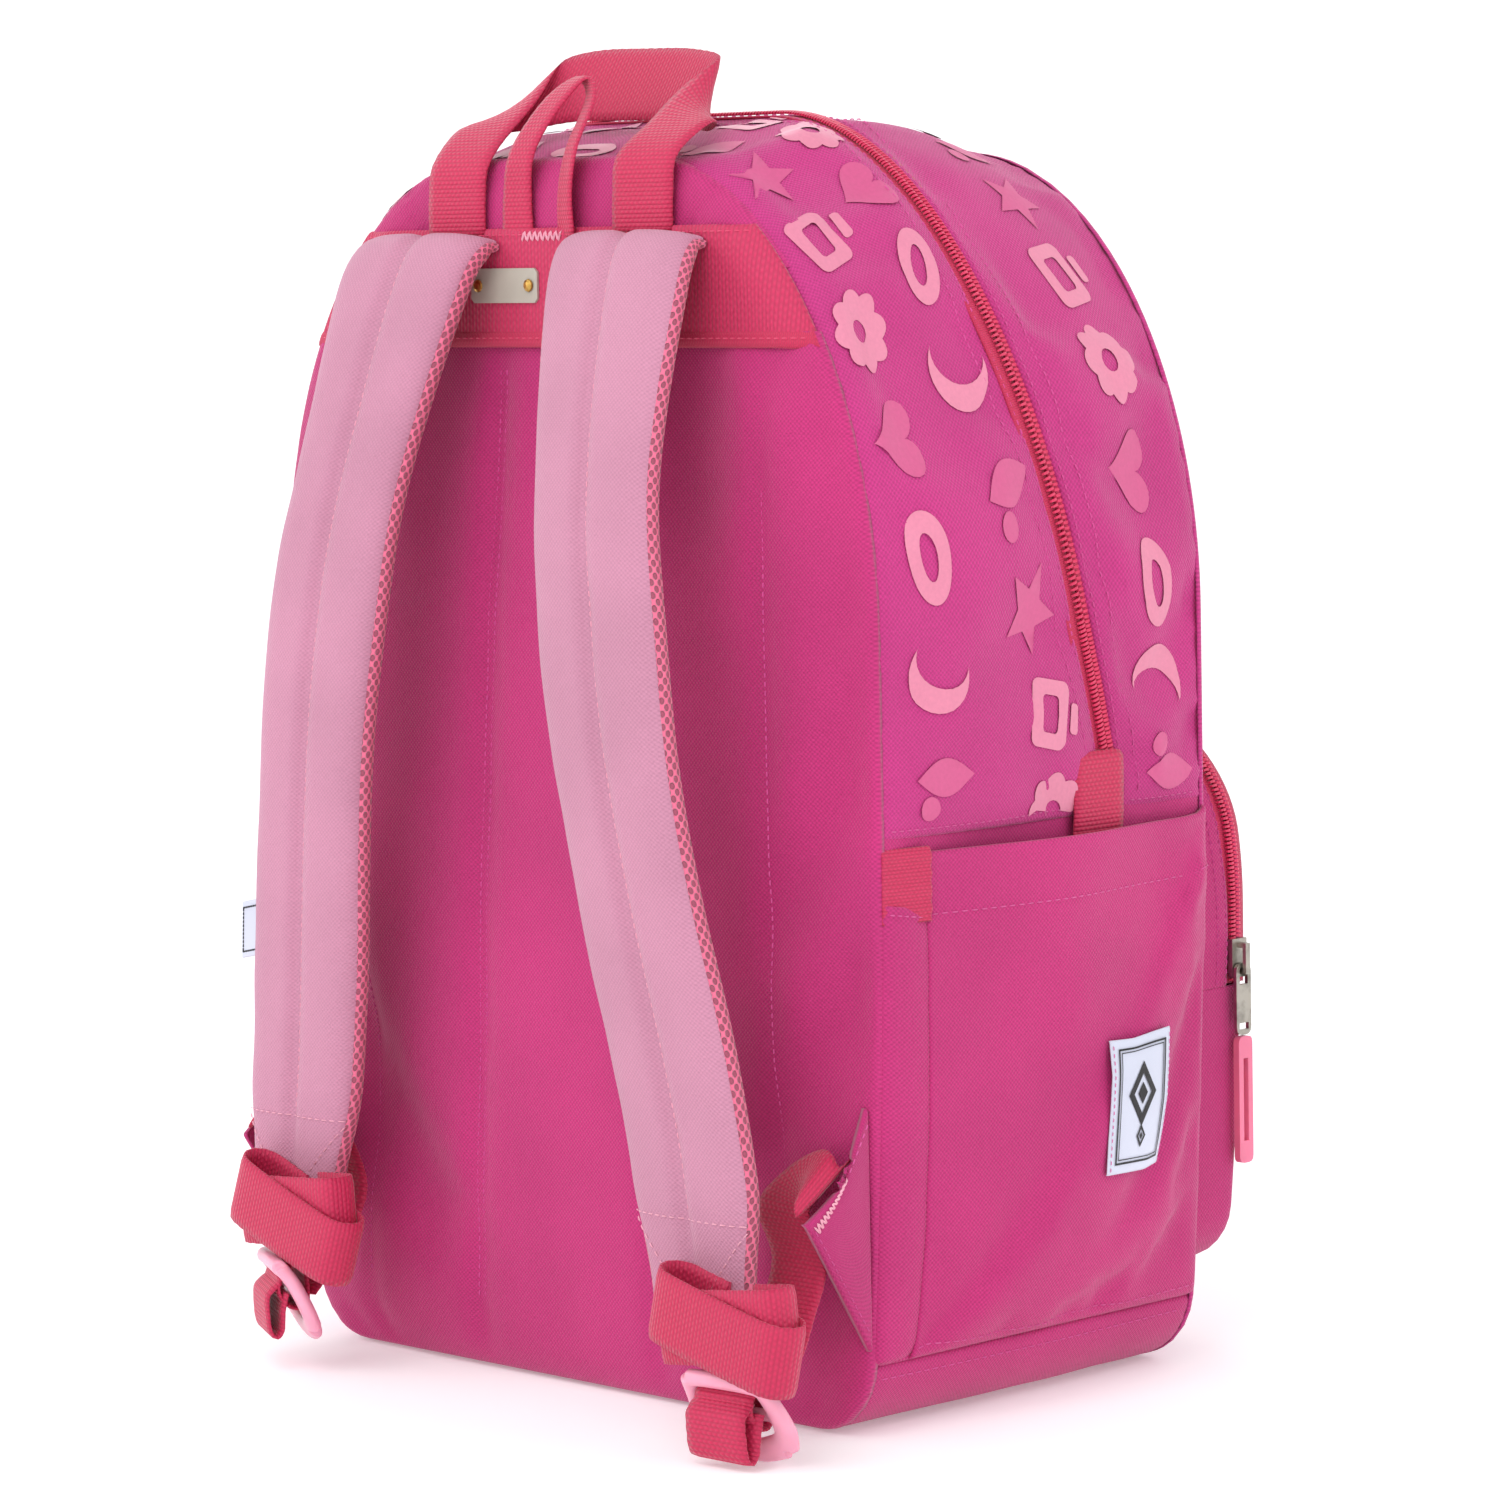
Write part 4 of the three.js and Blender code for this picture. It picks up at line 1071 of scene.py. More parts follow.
def make_gussets():
    end = run_at(POCKET_SEAM_Z - 3)
    rear_span = lambda d: (Y_BACK, zip_y(d) - ZIP_HALF - GAP)
    rear = Surface(shell, (-end, end), rear_span, roll=(1.2, 1.2, 2.6, 1.2), wave=2.2, size=48,
                   seed=7, relief=rear_relief)
    rear.settle(step=9, slack=0.02, push=0.5, gravity=1.0, cap=3.5)
    on_shell(rear.panel("rear_gusset_cloth", PRINTED, 5), "rear_gusset", slot="printed_fabric")

    front_span = lambda d: (zip_y(d) + ZIP_HALF + GAP, Y_FRONT + 1)
    front = Surface(shell, (-end, end), front_span, roll=(1.2, 1.2, 1.2, 2.6), wave=2.0, size=48,
                    seed=11, relief=front_relief)
    front.settle(step=9, slack=0.02, push=0.5, gravity=1.0, cap=3.5)
    over_flap(front.panel("front_gusset_cloth", PRINTED, 5), "front_gusset",
              "front_gusset_end_left", "front_gusset_end_right", slot="printed_fabric")

    for pale in (True, False):
        tone = "pale" if pale else "mid"
        spots = print_spots(-end + 12, end, 2, rear_span, 34, 0.5, 0)
        on_shell(printed(rear, spots, f"rear_print_{tone}", pale), slot="printed_fabric")
        spots = print_spots(-end + 24, end, 1, front_span, 32, 0.55, 4)
        over_flap(printed(front, spots, f"front_print_{tone}", pale), slot="printed_fabric")

    low = run_at(ZIP_LOW_Z - 8)
    rear_sewn, front_sewn = Stitches(), Stitches()
    for inset in (2.2, 9.0):
        path = fabric_path(rear, lambda d: rear_span(d)[1] - inset, -low, low)
        rear_sewn.on(rear, path, width=0.55)
        path = fabric_path(front, lambda d: front_span(d)[0] + inset, -low, low)
        front_sewn.on(front, path, width=0.55)
    for side in (-1, 1):
        d = side * (end - 3)
        rear_sewn.on(rear, [(d, -84), (d, 10)], width=0.5)
        front_sewn.on(front, [(d, 36), (d, 70)], width=0.5)
    on_shell(rear_sewn.make("rear_gusset_stitches", THREAD), slot="printed_fabric")
    over_flap(front_sewn.make("front_gusset_stitches", THREAD), slot="printed_fabric")


def rear_relief(d, y):
    """The gusset swells between its seams and dips where the shoulder turns."""
    v0, v1 = Y_BACK, zip_y(d) - ZIP_HALF
    t = clamp01((y - v0) / (v1 - v0))
    swell = 2.6 * math.sin(math.pi * t)
    pucker = 0.35 * math.sin(d * 0.75) * math.exp(-(y - v0) / 7)
    return swell + pucker


def front_relief(d, y):
    v0, v1 = zip_y(d) + ZIP_HALF, Y_FRONT
    t = clamp01((y - v0) / (v1 - v0))
    low = smooth(ZIP_LOW_Z, 300, outline(d)[1])
    return 2.4 * math.sin(math.pi * t) * low + 0.35 * math.sin(d * 0.75) * math.exp(-(v1 - y) / 7)


def chain_frame(d):
    """Point, outward normal, direction along and direction across at the main zip's chain."""
    p = shell(d, zip_y(d))
    along = (shell(d + 1, zip_y(d + 1)) - shell(d - 1, zip_y(d - 1))).normalized()
    out = -towards_axis(p).normalized()
    across = along.cross(out).normalized()
    if across.y < 0:
        across = -across
    normal = across.cross(along).normalized()
    if normal.dot(out) < 0:
        normal = -normal
    return p, normal, along, across


def teeth(frames, side, name, pitch=1.5, reach=3.0, lift=0.4):
    """One side's row of coil turns; frames gives (point, normal, along, across) by distance."""
    verts, faces = [], []
    for k, (p, n, a, c) in enumerate(frames):
        slant = 0.25
        low, high = 0.15, reach
        half = pitch * 0.33
        centre = p + n * lift
        for x, h, w in ((low - 0.4, -0.3, 0.7), (low, 0.7, 1.0), (high * 0.6, 0.95, 1.0),
                        (high, 0.5, 0.8), (high + 0.3, -0.3, 0.6)):
            for s in (-1, 1):
                verts.append(centre + c * (side * x) + a * (s * half * w + slant * x * 0.3) + n * h)
        b = k * 10
        for i in range(4):
            q = (b + 2 * i, b + 2 * i + 1, b + 2 * i + 3, b + 2 * i + 2)
            faces.append(q if side > 0 else q[::-1])
        for s in (0, 1):
            rim = [b + s, b + 2 + s, b + 4 + s, b + 6 + s, b + 8 + s]
            faces.append(tuple(rim if (s == 0) == (side > 0) else rim[::-1]))
        bottom = (b, b + 8, b + 9, b + 1)
        faces.append(bottom if side > 0 else bottom[::-1])
    return outward(make(name, verts, faces, COIL, smoothed=False))


def zip_tape(fn_frames, v0, v1, sink, name):
    """A strip of tape beside the chain, sunk under the fabric's edge."""
    outer, inner, uvs = [], [], []
    run = 0.0
    last = None
    for p, n, a, c in fn_frames:
        run += (p - last).length if last is not None else 0
        last = p
        row, deep = [], []
        for j in range(4):
            x = v0 + (v1 - v0) * j / 3
            q = p + c * x - n * sink
            row.append(q)
            deep.append(q - n * 0.8)
            uvs.append((x, run))
        outer.append(row)
        inner.append(deep)
    verts, faces = grid_solid(outer, inner)
    return outward(make(name, verts, faces, TAPE, uvs + uvs))


def spaced(a, b, pitch, shift=0.0):
    count = int(abs(b - a) / pitch)
    return [a + (k + shift) * pitch for k in range(count)]


def make_main_zip():
    low = run_at(ZIP_LOW_Z)
    rear = [chain_frame(d) for d in spaced(-low, low, 1.5)]
    front = [chain_frame(d) for d in spaced(-low, low, 1.5, 0.5)]
    tape = [chain_frame(d) for d in spaced(-low - 8, low + 8, 5)]
    on_shell(teeth(rear, -1, "main_zip_coil_rear"), slot="zip_coil")
    over_flap(teeth(front, 1, "main_zip_coil_front"), slot="zip_coil")
    on_shell(zip_tape(tape, -8, -0.3, 0.5, "main_zip_tape_rear"), "main_zip_rear", slot="zip_coil")
    over_flap(zip_tape(tape, 0.3, 8, 0.5, "main_zip_tape_front"), "main_zip_front", slot="zip_coil")
    for side in (-1, 1):
        name = "right" if side > 0 else "left"
        x = side * (HALF_WIDTH + 2.6)
        path = [Vector((x - side * 2.5, 16.5, 223)), Vector((x + side * 0.4, 16.5, 222.4)),
                Vector((x + side * 0.9, 16.5, 218)), Vector((x + side * 0.7, 16.6, 208)),
                Vector((x + side * 0.2, 16.8, 199)), Vector((x - side * 1.0, 17, 192))]
        tab = webbing(f"zip_end_tab_cloth_{name}", spline(path, 16), lambda t: (0, 1, 0), 25)
        on_shell(tab, f"zip_end_tab_{name}", slot="webbing")


# ---- Sides, side pockets and base ----
def pocket_face(side):
    def fn(z, y):
        ramp = smooth(BASE_SEAM_Z, 75, z)
        out = half_width(z) + 2.4 + SIDE_POCKET_FULLNESS * ramp * fullness(y)
        return Vector((side * out, y, z))
    return fn


def pocket_relief(side):
    """Soft upright folds that grow towards the mouth, and a loose front corner."""
    def relief(z, y):
        up = smooth(50, 195, z)
        fold = 1.8 * math.sin(y / 15.5 + 0.8 * side + z / 170) * up
        lip = 3.5 * smooth(150, 200, z) * smooth(20, 62, y) * (1 - smooth(66, 76, y))
        sag = 2.0 * (1 - smooth(35, 90, z)) * smooth(26, 45, z) * fullness(y)
        rear = -1.2 * smooth(-50, -74, y) * up
        return fold + lip + sag + rear
    return relief


def make_sides():
    for side in (-1, 1):
        name = "right" if side > 0 else "left"
        runs = (side * run_at(BASE_SEAM_Z), side * run_at(POCKET_SEAM_Z))
        wall = Surface(shell, runs, lambda d: (Y_BACK, Y_FRONT), roll=(0, 0, 2.4, 2.4), wave=1.0,
                       seed=20 + side)
        on_shell(wall.panel(f"side_wall_{name}", MAIN, 7), f"side_panel_{name}", slot="main_fabric")

        fn = pocket_face(side)
        low = BASE_SEAM_Z + GAP
        turned = lambda y, z: fn(z, y)
        relief = pocket_relief(side)
        pocket = Surface(turned, (SIDE_POCKET_STEP_Y, Y_FRONT), lambda y: (low, SIDE_POCKET_TOP_Z),
                         roll=(0.6, 2.6, 1.8, 0.7), wave=1.4, size=40, seed=30 + side,
                         free=(1, 0, 0, 1), relief=lambda y, z: relief(z, y))
        pocket.settle(step=7, slack=0.022, push=0.15, gravity=1.0, cap=4.0)
        cloth = pocket.panel(f"side_pocket_cloth_{name}", MAIN, 4, 1.5)
        on_shell(cloth, f"side_pocket_{name}", slot="main_fabric")
        join = [pocket.at(SIDE_POCKET_STEP_Y, low + (SIDE_POCKET_STEP_Z - low) * k / 24)
                for k in range(25)]

        def rear_fn(y, z):
            t = clamp01((y - Y_BACK) / (SIDE_POCKET_STEP_Y - Y_BACK))
            k = clamp01((z - low) / (SIDE_POCKET_STEP_Z - low)) * 24
            i = min(23, int(k))
            edge = join[i].lerp(join[i + 1], k - i)
            return Vector((side * (half_width(z) + 0.6), Y_BACK - 0.5, z)).lerp(edge, t) + Vector(
                (side * 1.6 * math.sin(math.pi * t), 0, 0))

        back_part = Surface(rear_fn, (Y_BACK, SIDE_POCKET_STEP_Y + 0.3),
                            lambda y: (low, SIDE_POCKET_STEP_Z), roll=(2.0, 0, 1.8, 0.7))
        on_shell(back_part.panel(f"side_pocket_rear_cloth_{name}", MAIN, 4, 1.5), slot="main_fabric")

        under = lambda z, y: fn(z, y) + Vector((-side * 2.0, 0, 0))
        elastic = Surface(under, (174, SIDE_POCKET_TOP_Z - 1),
                          lambda z: (Y_BACK + 0.5, SIDE_POCKET_STEP_Y + 4), roll=(0, 0.8, 0, 0),
                          relief=lambda z, y: 0.4 * math.sin(z * 1.1))
        on_shell(elastic.panel(f"side_pocket_elastic_band_{name}", ELASTIC, 2.2, 1.2, uv_turn=True),
                 f"side_pocket_elastic_{name}", slot="elastic")

        sewn = Stitches()
        sewn.on(pocket, [(y, SIDE_POCKET_STEP_Z - 2) for y in range(-70, 75, 8)], width=0.5)
        sewn.on(back_part, [(y, SIDE_POCKET_STEP_Z - 3) for y in (-86, -79, -73)], width=0.5)
        sewn.on(pocket, [(y, low + 4) for y in range(-70, 75, 8)], width=0.5)
        on_shell(sewn.make(f"side_pocket_stitches_{name}", THREAD), slot="main_fabric")
        make_label(pocket, side, name)


def label_sheet(pocket, side):
    """Returns calm(y, z, lift): the label's points by distance from its middle.

    The sheet is coarse and lies clear of the pocket's creases, so the label stays smooth.
    """
    w, h = LABEL["half_width"], LABEL["half_height"]
    rows, cols = 3, 4

    def clear(y, z):
        """A point above every crease round about (y, z)."""
        near = [pocket.at(LABEL["y"] + y + LABEL["lean"] * z + dy, LABEL["z"] + z + dz, 1.2)
                for dy in (-6, -3, 0, 3, 6) for dz in (-6, 0, 6)]
        middle = near[len(near) // 2].copy()
        middle.x = side * max(side * p.x for p in near)
        return middle

    grid = [[clear(2 * w * i / rows - w, 2 * h * j / cols - h) for j in range(cols + 1)]
            for i in range(rows + 1)]

    def calm(y, z, lift=0.0):
        a, b = clamp01((y + w) / (2 * w)) * rows, clamp01((z + h) / (2 * h)) * cols
        i, j = min(rows - 1, int(a)), min(cols - 1, int(b))
        near = grid[i][j].lerp(grid[i][j + 1], b - j)
        far = grid[i + 1][j].lerp(grid[i + 1][j + 1], b - j)
        return near.lerp(far, a - i) + Vector((side * lift, 0, 0))

    return calm


def label_ink(verts, faces, name):
    ink = make(name, verts, faces, INK)
    face_away(ink)
    on_shell(ink, slot="label")


def label_border(calm, inset, line, name):
    """A thin printed frame, inset from the label's edge."""
    half_w, half_h = LABEL["half_width"] - inset, LABEL["half_height"] - inset
    corners = [(-half_w, -half_h), (half_w, -half_h), (half_w, half_h), (-half_w, half_h)]
    verts, faces = [], []
    count = 12
    for k in range(4):
        (y0, z0), (y1, z1) = corners[k], corners[(k + 1) % 4]
        for i in range(count + 1):
            t = i / count
            y, z = y0 + (y1 - y0) * t, z0 + (z1 - z0) * t
            for shrink in (0, line):
                yy = y - math.copysign(min(shrink, abs(y)), y)
                zz = z - math.copysign(min(shrink, abs(z)), z)
                if shrink and abs(y) < half_w - 1e-6:
                    yy = y
                if shrink and abs(z) < half_h - 1e-6:
                    zz = z
                verts.append(calm(yy, zz, LABEL_INK_LIFT))
        base = k * 2 * (count + 1)
        for i in range(count):
            a = base + 2 * i
            faces.append((a, a + 2, a + 3, a + 1))
    label_ink(verts, faces, name)


LABEL_INK_LIFT = 0.35
# The label's motif: two plain diamonds, each with its middle (y, z) and its half width.
LABEL_DIAMONDS = [((0, 3), 7.5), ((0, -11.5), 2.6)]


def label_motif(calm, name):
    """Plain diamonds, each a dark frame round a small dark middle."""
    verts, faces = [], []
    for (y0, z0), size in LABEL_DIAMONDS:
        for r0, r1 in ((0.62, 1.0), (0.0, 0.34)):
            base = len(verts)
            for i in range(4):
                a = math.pi / 2 * i
                for r in (r0, r1):
                    y, z = y0 + size * r * math.cos(a), z0 + 1.5 * size * r * math.sin(a)
                    verts.append(calm(y, z, LABEL_INK_LIFT))
            for i in range(4):
                k = (i + 1) % 4
                faces.append((base + 2 * i, base + 2 * k, base + 2 * k + 1, base + 2 * i + 1))
    label_ink(verts, faces, name)


def make_label(pocket, side, name):
    """A satin label, lying calmly over the pocket's creases, with a border and a plain diamond."""
    w, h = LABEL["half_width"], LABEL["half_height"]
    calm = label_sheet(pocket, side)
    face = Surface(calm, (-w, w), lambda y: (-h, h), roll=(0.3,) * 4)
    cloth = face.panel(f"woven_label_cloth_{name}", SATIN, 2, 0.4)
    on_shell(cloth, f"woven_label_{name}", slot="label")
    label_border(calm, 3.2, 0.7, f"woven_label_border_{name}")
    label_border(calm, 4.6, 0.35, f"woven_label_inner_border_{name}")
    label_motif(calm, f"woven_label_motif_{name}")
    edge = Stitches()
    label = Surface(lambda y, z: calm(y, z, 0.2), (-w, w), lambda y: (-h, h))
    for y in (-w + 1, w - 1):
        edge.on(label, [(y, -h + 1), (y, h - 1)], pitch=2.4, length=1.6, width=0.4, height=0.2)
    on_shell(edge.make(f"woven_label_stitches_{name}", THREAD), slot="label")


def make_base():
    seam = run_at(BASE_SEAM_Z)
    wave = lambda d, y: 1.2 * math.sin(math.pi * clamp01((y - Y_BACK) / (Y_FRONT - Y_BACK))) * (
        1 if outline(d)[1] > 4 else 0)
    base = Surface(shell, (seam, 2 * HALF_RUN - seam), lambda d: (Y_BACK - 1.2, Y_FRONT + 1.2),
                   roll=(1.6, 1.6, 2.8, 2.8), wave=0.6, relief=wave)
    on_shell(base.panel("base_cloth", MAIN, 5, 1.8), "base_panel", slot="main_fabric")
    sewn = Stitches()
    for d in (seam + 5, 2 * HALF_RUN - seam - 5):
        sewn.on(base, [(d, y) for y in range(-84, 74, 8)], width=0.5)
    on_shell(sewn.make("base_stitches", THREAD), slot="main_fabric")


# ---- Front panel and front pocket ----
def make_front():
    core = lambda p: Vector((0, -1, 0))

    def relief(z, x):
        edge = min(outline_half(z) - abs(x), HEIGHT - z, z)
        return 7.0 * smooth(0, 60, edge) * smooth(235, 300, z)

    fn = lambda z, x: Vector((x, Y_FRONT + 2.4, z))
    face = Surface(fn, (0.6, HEIGHT - 0.4), lambda z: (-outline_half(z), outline_half(z)), core,
                   roll=(2.4, 2.4, 2.4, 2.4), wave=1.6, size=80, seed=41, relief=relief)
    over_flap(face.panel("front_panel_cloth", PRINTED, 6, 2.0, uv_turn=True),
              "front_panel_lower", "front_panel_upper", slot="printed_fabric")
    for pale in (True, False):
        tone = "pale" if pale else "mid"
        spots = []
        for row in range(4):
            for col in range(-2, 3):
                z = 268 + 40 * row
                x = 48 * col + (24 if row % 2 else 0)
                if abs(x) < outline_half(z + 14) - 16:
                    motif = (3 * row + 2 * col + 5) % len(MOTIFS)
                    spots.append((motif, z, x, math.pi / 2 + 0.3 * math.sin(row + 2 * col), False))
        over_flap(printed(face, spots, f"front_panel_print_{tone}", pale), slot="printed_fabric")


def pocket_core(p):
    return Vector((-p.x, 0, 130 - p.z))


def pocket_wall(d, y):
    x, z = pocket_outline(d)
    return Vector((x, y, z))


def pocket_rim(d):
    return face_y(pocket_outline(d)[1]) - 2.8


def make_front_pocket():
    root = Y_FRONT + 2.6
    end = pocket_run_at(POCKET_ZIP_Z)
    gusset = Surface(pocket_wall, (-end, end), lambda d: (root, pocket_rim(d) - 2 * ZIP_HALF + 0.6),
                     pocket_core, roll=(0, 0, 1.6, 1.0), wave=0.9, size=35, seed=50,
                     relief=lambda d, y: 0.8 * math.sin(d / 14))
    on_shell(gusset.panel("front_pocket_wall", MAIN, 4), "front_pocket_gusset", slot="main_fabric")
    sewn = Stitches()
    for inset in (2.0, 7.0):
        path = fabric_path(gusset, lambda d: gusset.span(d)[1] - inset, -end, end, 10)
        sewn.on(gusset, path, width=0.5)
    on_shell(sewn.make("front_pocket_wall_stitches", THREAD), slot="main_fabric")

    total = 2 * POCKET_HALF_RUN - end
    base = Surface(pocket_wall, (end, total), lambda d: (root, pocket_rim(d) + 0.6), pocket_core,
                   roll=(0, 0, 1.6, 2.0), wave=0.9, size=35, seed=51)
    on_shell(base.panel("front_pocket_floor", MAIN, 5), "front_pocket_base", slot="main_fabric")

    def chain(d):
        x, z = pocket_outline(d)
        x1, z1 = pocket_outline(d + 0.5)
        x0, z0 = pocket_outline(d - 0.5)
        p = Vector((x, pocket_rim(d) - ZIP_HALF, z))
        along = Vector((x1 - x0, 0, z1 - z0)).normalized()
        normal = Vector((along.z, 0, -along.x))
        if normal.dot(pocket_core(p)) > 0:
            normal = -normal
        return p, normal, along, Vector((0, 1, 0))

    rear = [chain(d) for d in spaced(-end, end, 1.5)]
    front = [chain(d) for d in spaced(-end, end, 1.5, 0.5)]
    tape = [chain(d) for d in spaced(-end, end + 4, 4)]
    on_shell(teeth(rear, -1, "front_pocket_coil_rear", reach=2.6, lift=0.1), slot="zip_coil")
    over_pocket(teeth(front, 1, "front_pocket_coil_front", reach=2.6, lift=0.1), slot="zip_coil")
    on_shell(zip_tape(tape, -6, -0.3, 0.9, "front_pocket_tape_rear"), "front_pocket_zip_rear",
             slot="zip_coil")
    over_pocket(zip_tape(tape, 0.3, 6, 0.9, "front_pocket_tape_front"), "front_pocket_zip_front",
                slot="zip_coil")

    def face_fn(z, t):
        half = pocket_half(z)
        u = t / 130
        return Vector((u * half, face_y(z) + 3 * (1 - u * u), z))

    def relief(z, t):
        u = abs(t) / 130
        edge = min((1 - u) * 130, POCKET_TOP - z, z - POCKET_LOW)
        return 3.0 * smooth(0, 45, edge) - 4 * (1 - smooth(0, 7, edge))

    face = Surface(face_fn, (POCKET_LOW + 0.1, POCKET_TOP - 0.1), lambda z: (-130, 130),
                   lambda p: Vector((0, -1, 0)), wave=1.8, size=60, seed=60, relief=relief)
    face.settle(step=8, slack=0.02, push=0.6, gravity=1.0, cap=4.0)
    over_pocket(face.panel("front_pocket_face_cloth", MAIN, 5, 2.0, uv_turn=True),
                "front_pocket_face_upper", "front_pocket_face_lower", slot="main_fabric")
    sewn = Stitches()
    for side in (-1, 1):
        path = [(z, side * 121) for z in range(42, 186, 9)]
        sewn.on(face, path, width=0.5)
    over_pocket(sewn.make("front_pocket_face_stitches", THREAD), slot="main_fabric")


# ---- Shoulder straps ----
STRAP_PATH = {
    "right": [(52, -94, 406), (52, -101, 405.5), (54, -110, 398), (57, -118, 382), (61, -128, 351),
              (67, -138, 315), (73, -143, 280), (80, -145, 233), (88, -142, 182), (97, -137, 131),
              (106, -137, 92), (111, -139, 62)],
    "left": [(-51, -94, 406), (-51, -101, 405.5), (-52, -110, 398), (-53, -118, 382), (-57, -127, 351),
             (-63, -136, 312), (-68, -140, 280), (-75, -141, 238), (-84, -138, 185), (-93, -133, 140),
             (-100, -130, 103), (-104, -131, 74)],
}
STRAP_END = {
    "right": {"bar": (129, -147, 31), "turn": 0.08, "edges": (99, 158), "over": (52, 38),
              "under": (43, 50)},
    "left": {"bar": (-109, -140, 41), "turn": -0.5, "edges": (-125, -70), "over": (65, 45),
             "under": (56, 60)},
}
BUCKLE_LEAN = 0.5
STRAP_TUCK = 14
STRAP_HALF = 32.5
STRAP_COLUMNS = 26
STRAP_SHIFT = -6


def strap_frames(name):
    """Point, outward direction and distance from the top, all along a strap."""
    path = spline(STRAP_PATH[name], 96)
    low = (path[-1] - path[-3]).normalized()
    path = [p + Vector((STRAP_SHIFT, 0, 0)) for p in path]
    path += [path[-1] + low * (STRAP_TUCK * k / 4) for k in range(1, 5)]
    count = len(path) - 1
    frames = []
    run = 0.0
    for i, p in enumerate(path):
        before, after = path[max(0, i - 1)], path[min(count, i + 1)]
        tangent = (after - before).normalized()
        out = tangent.cross(Vector((1, 0, 0))).normalized()
        if i and out.dot(frames[-1][1]) < 0:
            out = -out
        if not i and out.dot(Vector((0, -0.2, 1))) < 0:
            out = -out
        if i:
            run += (p - path[i - 1]).length
        frames.append((p, out, run))
    return frames


def strap_half(t):
    return STRAP_HALF - 4 * smooth(0.02, 0.3, t) - 6 * smooth(0.88, 1, t) + 0.5 * math.sin(t * 19)


def strap_flat(run, total):
    """How full the padding is: it thins towards the webbing."""
    return 1 - 0.55 * smooth(total - 40, total - 12, run)


def cloth_ring(frame_here, half, side, total, end):
    """The padded cloth's section at one frame of the strap, and its cloth coordinates."""
    p, out, run = frame_here
    flat = strap_flat(run, total)
    ring, uv = [], []
    for k in range(STRAP_COLUMNS + 1):
        w = -1 + 2 * k / STRAP_COLUMNS
        puff = (1 - abs(w) ** 5) * 5.4 * flat
        groove = 3.0 * math.exp(-((w * half / 3.0) ** 2)) * flat
        edge_in = 1.2 * abs(w) ** 12
        wrinkle = 0.45 * noise.noise(Vector((w * 1.5, run / 22, 5 * side)))
        h = -4.6 + (puff - groove + wrinkle) * (0.35 + 0.65 * end)
        x = w * (half - edge_in)
        ring.append(p + Vector((x, 0, 0)) + out * h)
        uv.append((x, run))
    for k in range(STRAP_COLUMNS, -1, -2):
        w = -1 + 2 * k / STRAP_COLUMNS
        ring.append(p + Vector((w * (half - 1.0), 0, 0)) - out * 6.2)
        uv.append((w * half, run))
    return ring, uv


def mesh_ring(frame_here, half, end):
    """The spacer mesh's section under the cloth, and its cloth coordinates."""
    p, out, run = frame_here
    wide = half + 0.3
    left = [(-wide + 1.5, -4.8), (-wide, -5.8), (-wide - 0.2, -7.6), (-wide + 0.6, -9.8),
            (-wide + 3.0, -11.0), (-wide * 0.5, -11.3), (-2, -10.7)]
    section = left + [(-x, h) for x, h in reversed(left)]
    squeeze = 0.55 + 0.45 * end
    ring, uv = [], []
    length = 0.0
    for k, (x, h) in enumerate(section):
        if k:
            length += math.hypot(x - section[k - 1][0], h - section[k - 1][1])
        ring.append(p + Vector((x, 0, 0)) + out * (-5.6 + (h + 5.6) * squeeze))
        uv.append((length, run))
    return ring, uv


def make_strap(name, side):
    """One padded strap, with its spacer mesh, seams and webbing end."""
    body = f"strap_{name}"
    frames = strap_frames(name)
    last, total = len(frames) - 1, frames[-1][2]
    rings, mesh_rings, uvs, mesh_uvs = [], [], [], []
    for i, frame_here in enumerate(frames):
        run = frame_here[2]
        half = strap_half(i / last)
        end = smooth(0, 14, run) * smooth(0, 10, total - run)
        ring, uv = cloth_ring(frame_here, half, side, total, end)
        rings.append(ring)
        uvs += uv
        ring, uv = mesh_ring(frame_here, half, end)
        mesh_rings.append(ring)
        mesh_uvs += uv
    pad = tube(f"strap_cloth_{name}", rings, STRAP, uvs)
    on_body(pad, body, f"shoulder_strap_{name}", slot="strap_fabric")
    under = tube(f"strap_spacer_{name}", mesh_rings, MESH, mesh_uvs)
    on_body(under, body, f"strap_mesh_{name}", slot="spacer_mesh")

    sewn = Stitches()
    for a, b in (((-27, total - 30), (27, total - 30)), ((-26, total - 28), (-6, total - 4)),
                 ((26, total - 28), (6, total - 4)), ((1.6, 16), (1.6, total - 32))):
        strap_stitch(sewn, frames, a, b)
    on_body(sewn.make(f"strap_stitches_{name}", THREAD_PALE), body, slot="strap_fabric")
    make_strap_end(name)
    if name == "left":
        make_flag_label(frames)


FLAG_RUN = 262


def make_flag_label(frames):
    """A small folded satin label sewn into the left strap's outer edge."""
    def fn(x, z):
        return strap_point(frames, 0, FLAG_RUN - z)[0] + Vector((x, 3.5 - 0.1 * x, 0.2 * x))

    face = Surface(fn, (-43, -22), lambda x: (-11, 11), lambda p: Vector((0, 1, 0)),
                   roll=(0.3,) * 4, wave=0.8, size=14)
    on_body(face.panel("strap_flag_label", SATIN, 2, 0.9), "strap_left", slot="label")
    edge = Stitches()
    for line in ([(-42, -8.5), (-24, -8.5)], [(-42, 8.5), (-24, 8.5)], [(-41.6, -8.5), (-41.6, 8.5)]):
        edge.on(face, line, pitch=1.5, length=1.5, width=0.7, height=0.3)
    on_body(edge.make("strap_flag_label_lines", INK), "strap_left", slot="label")


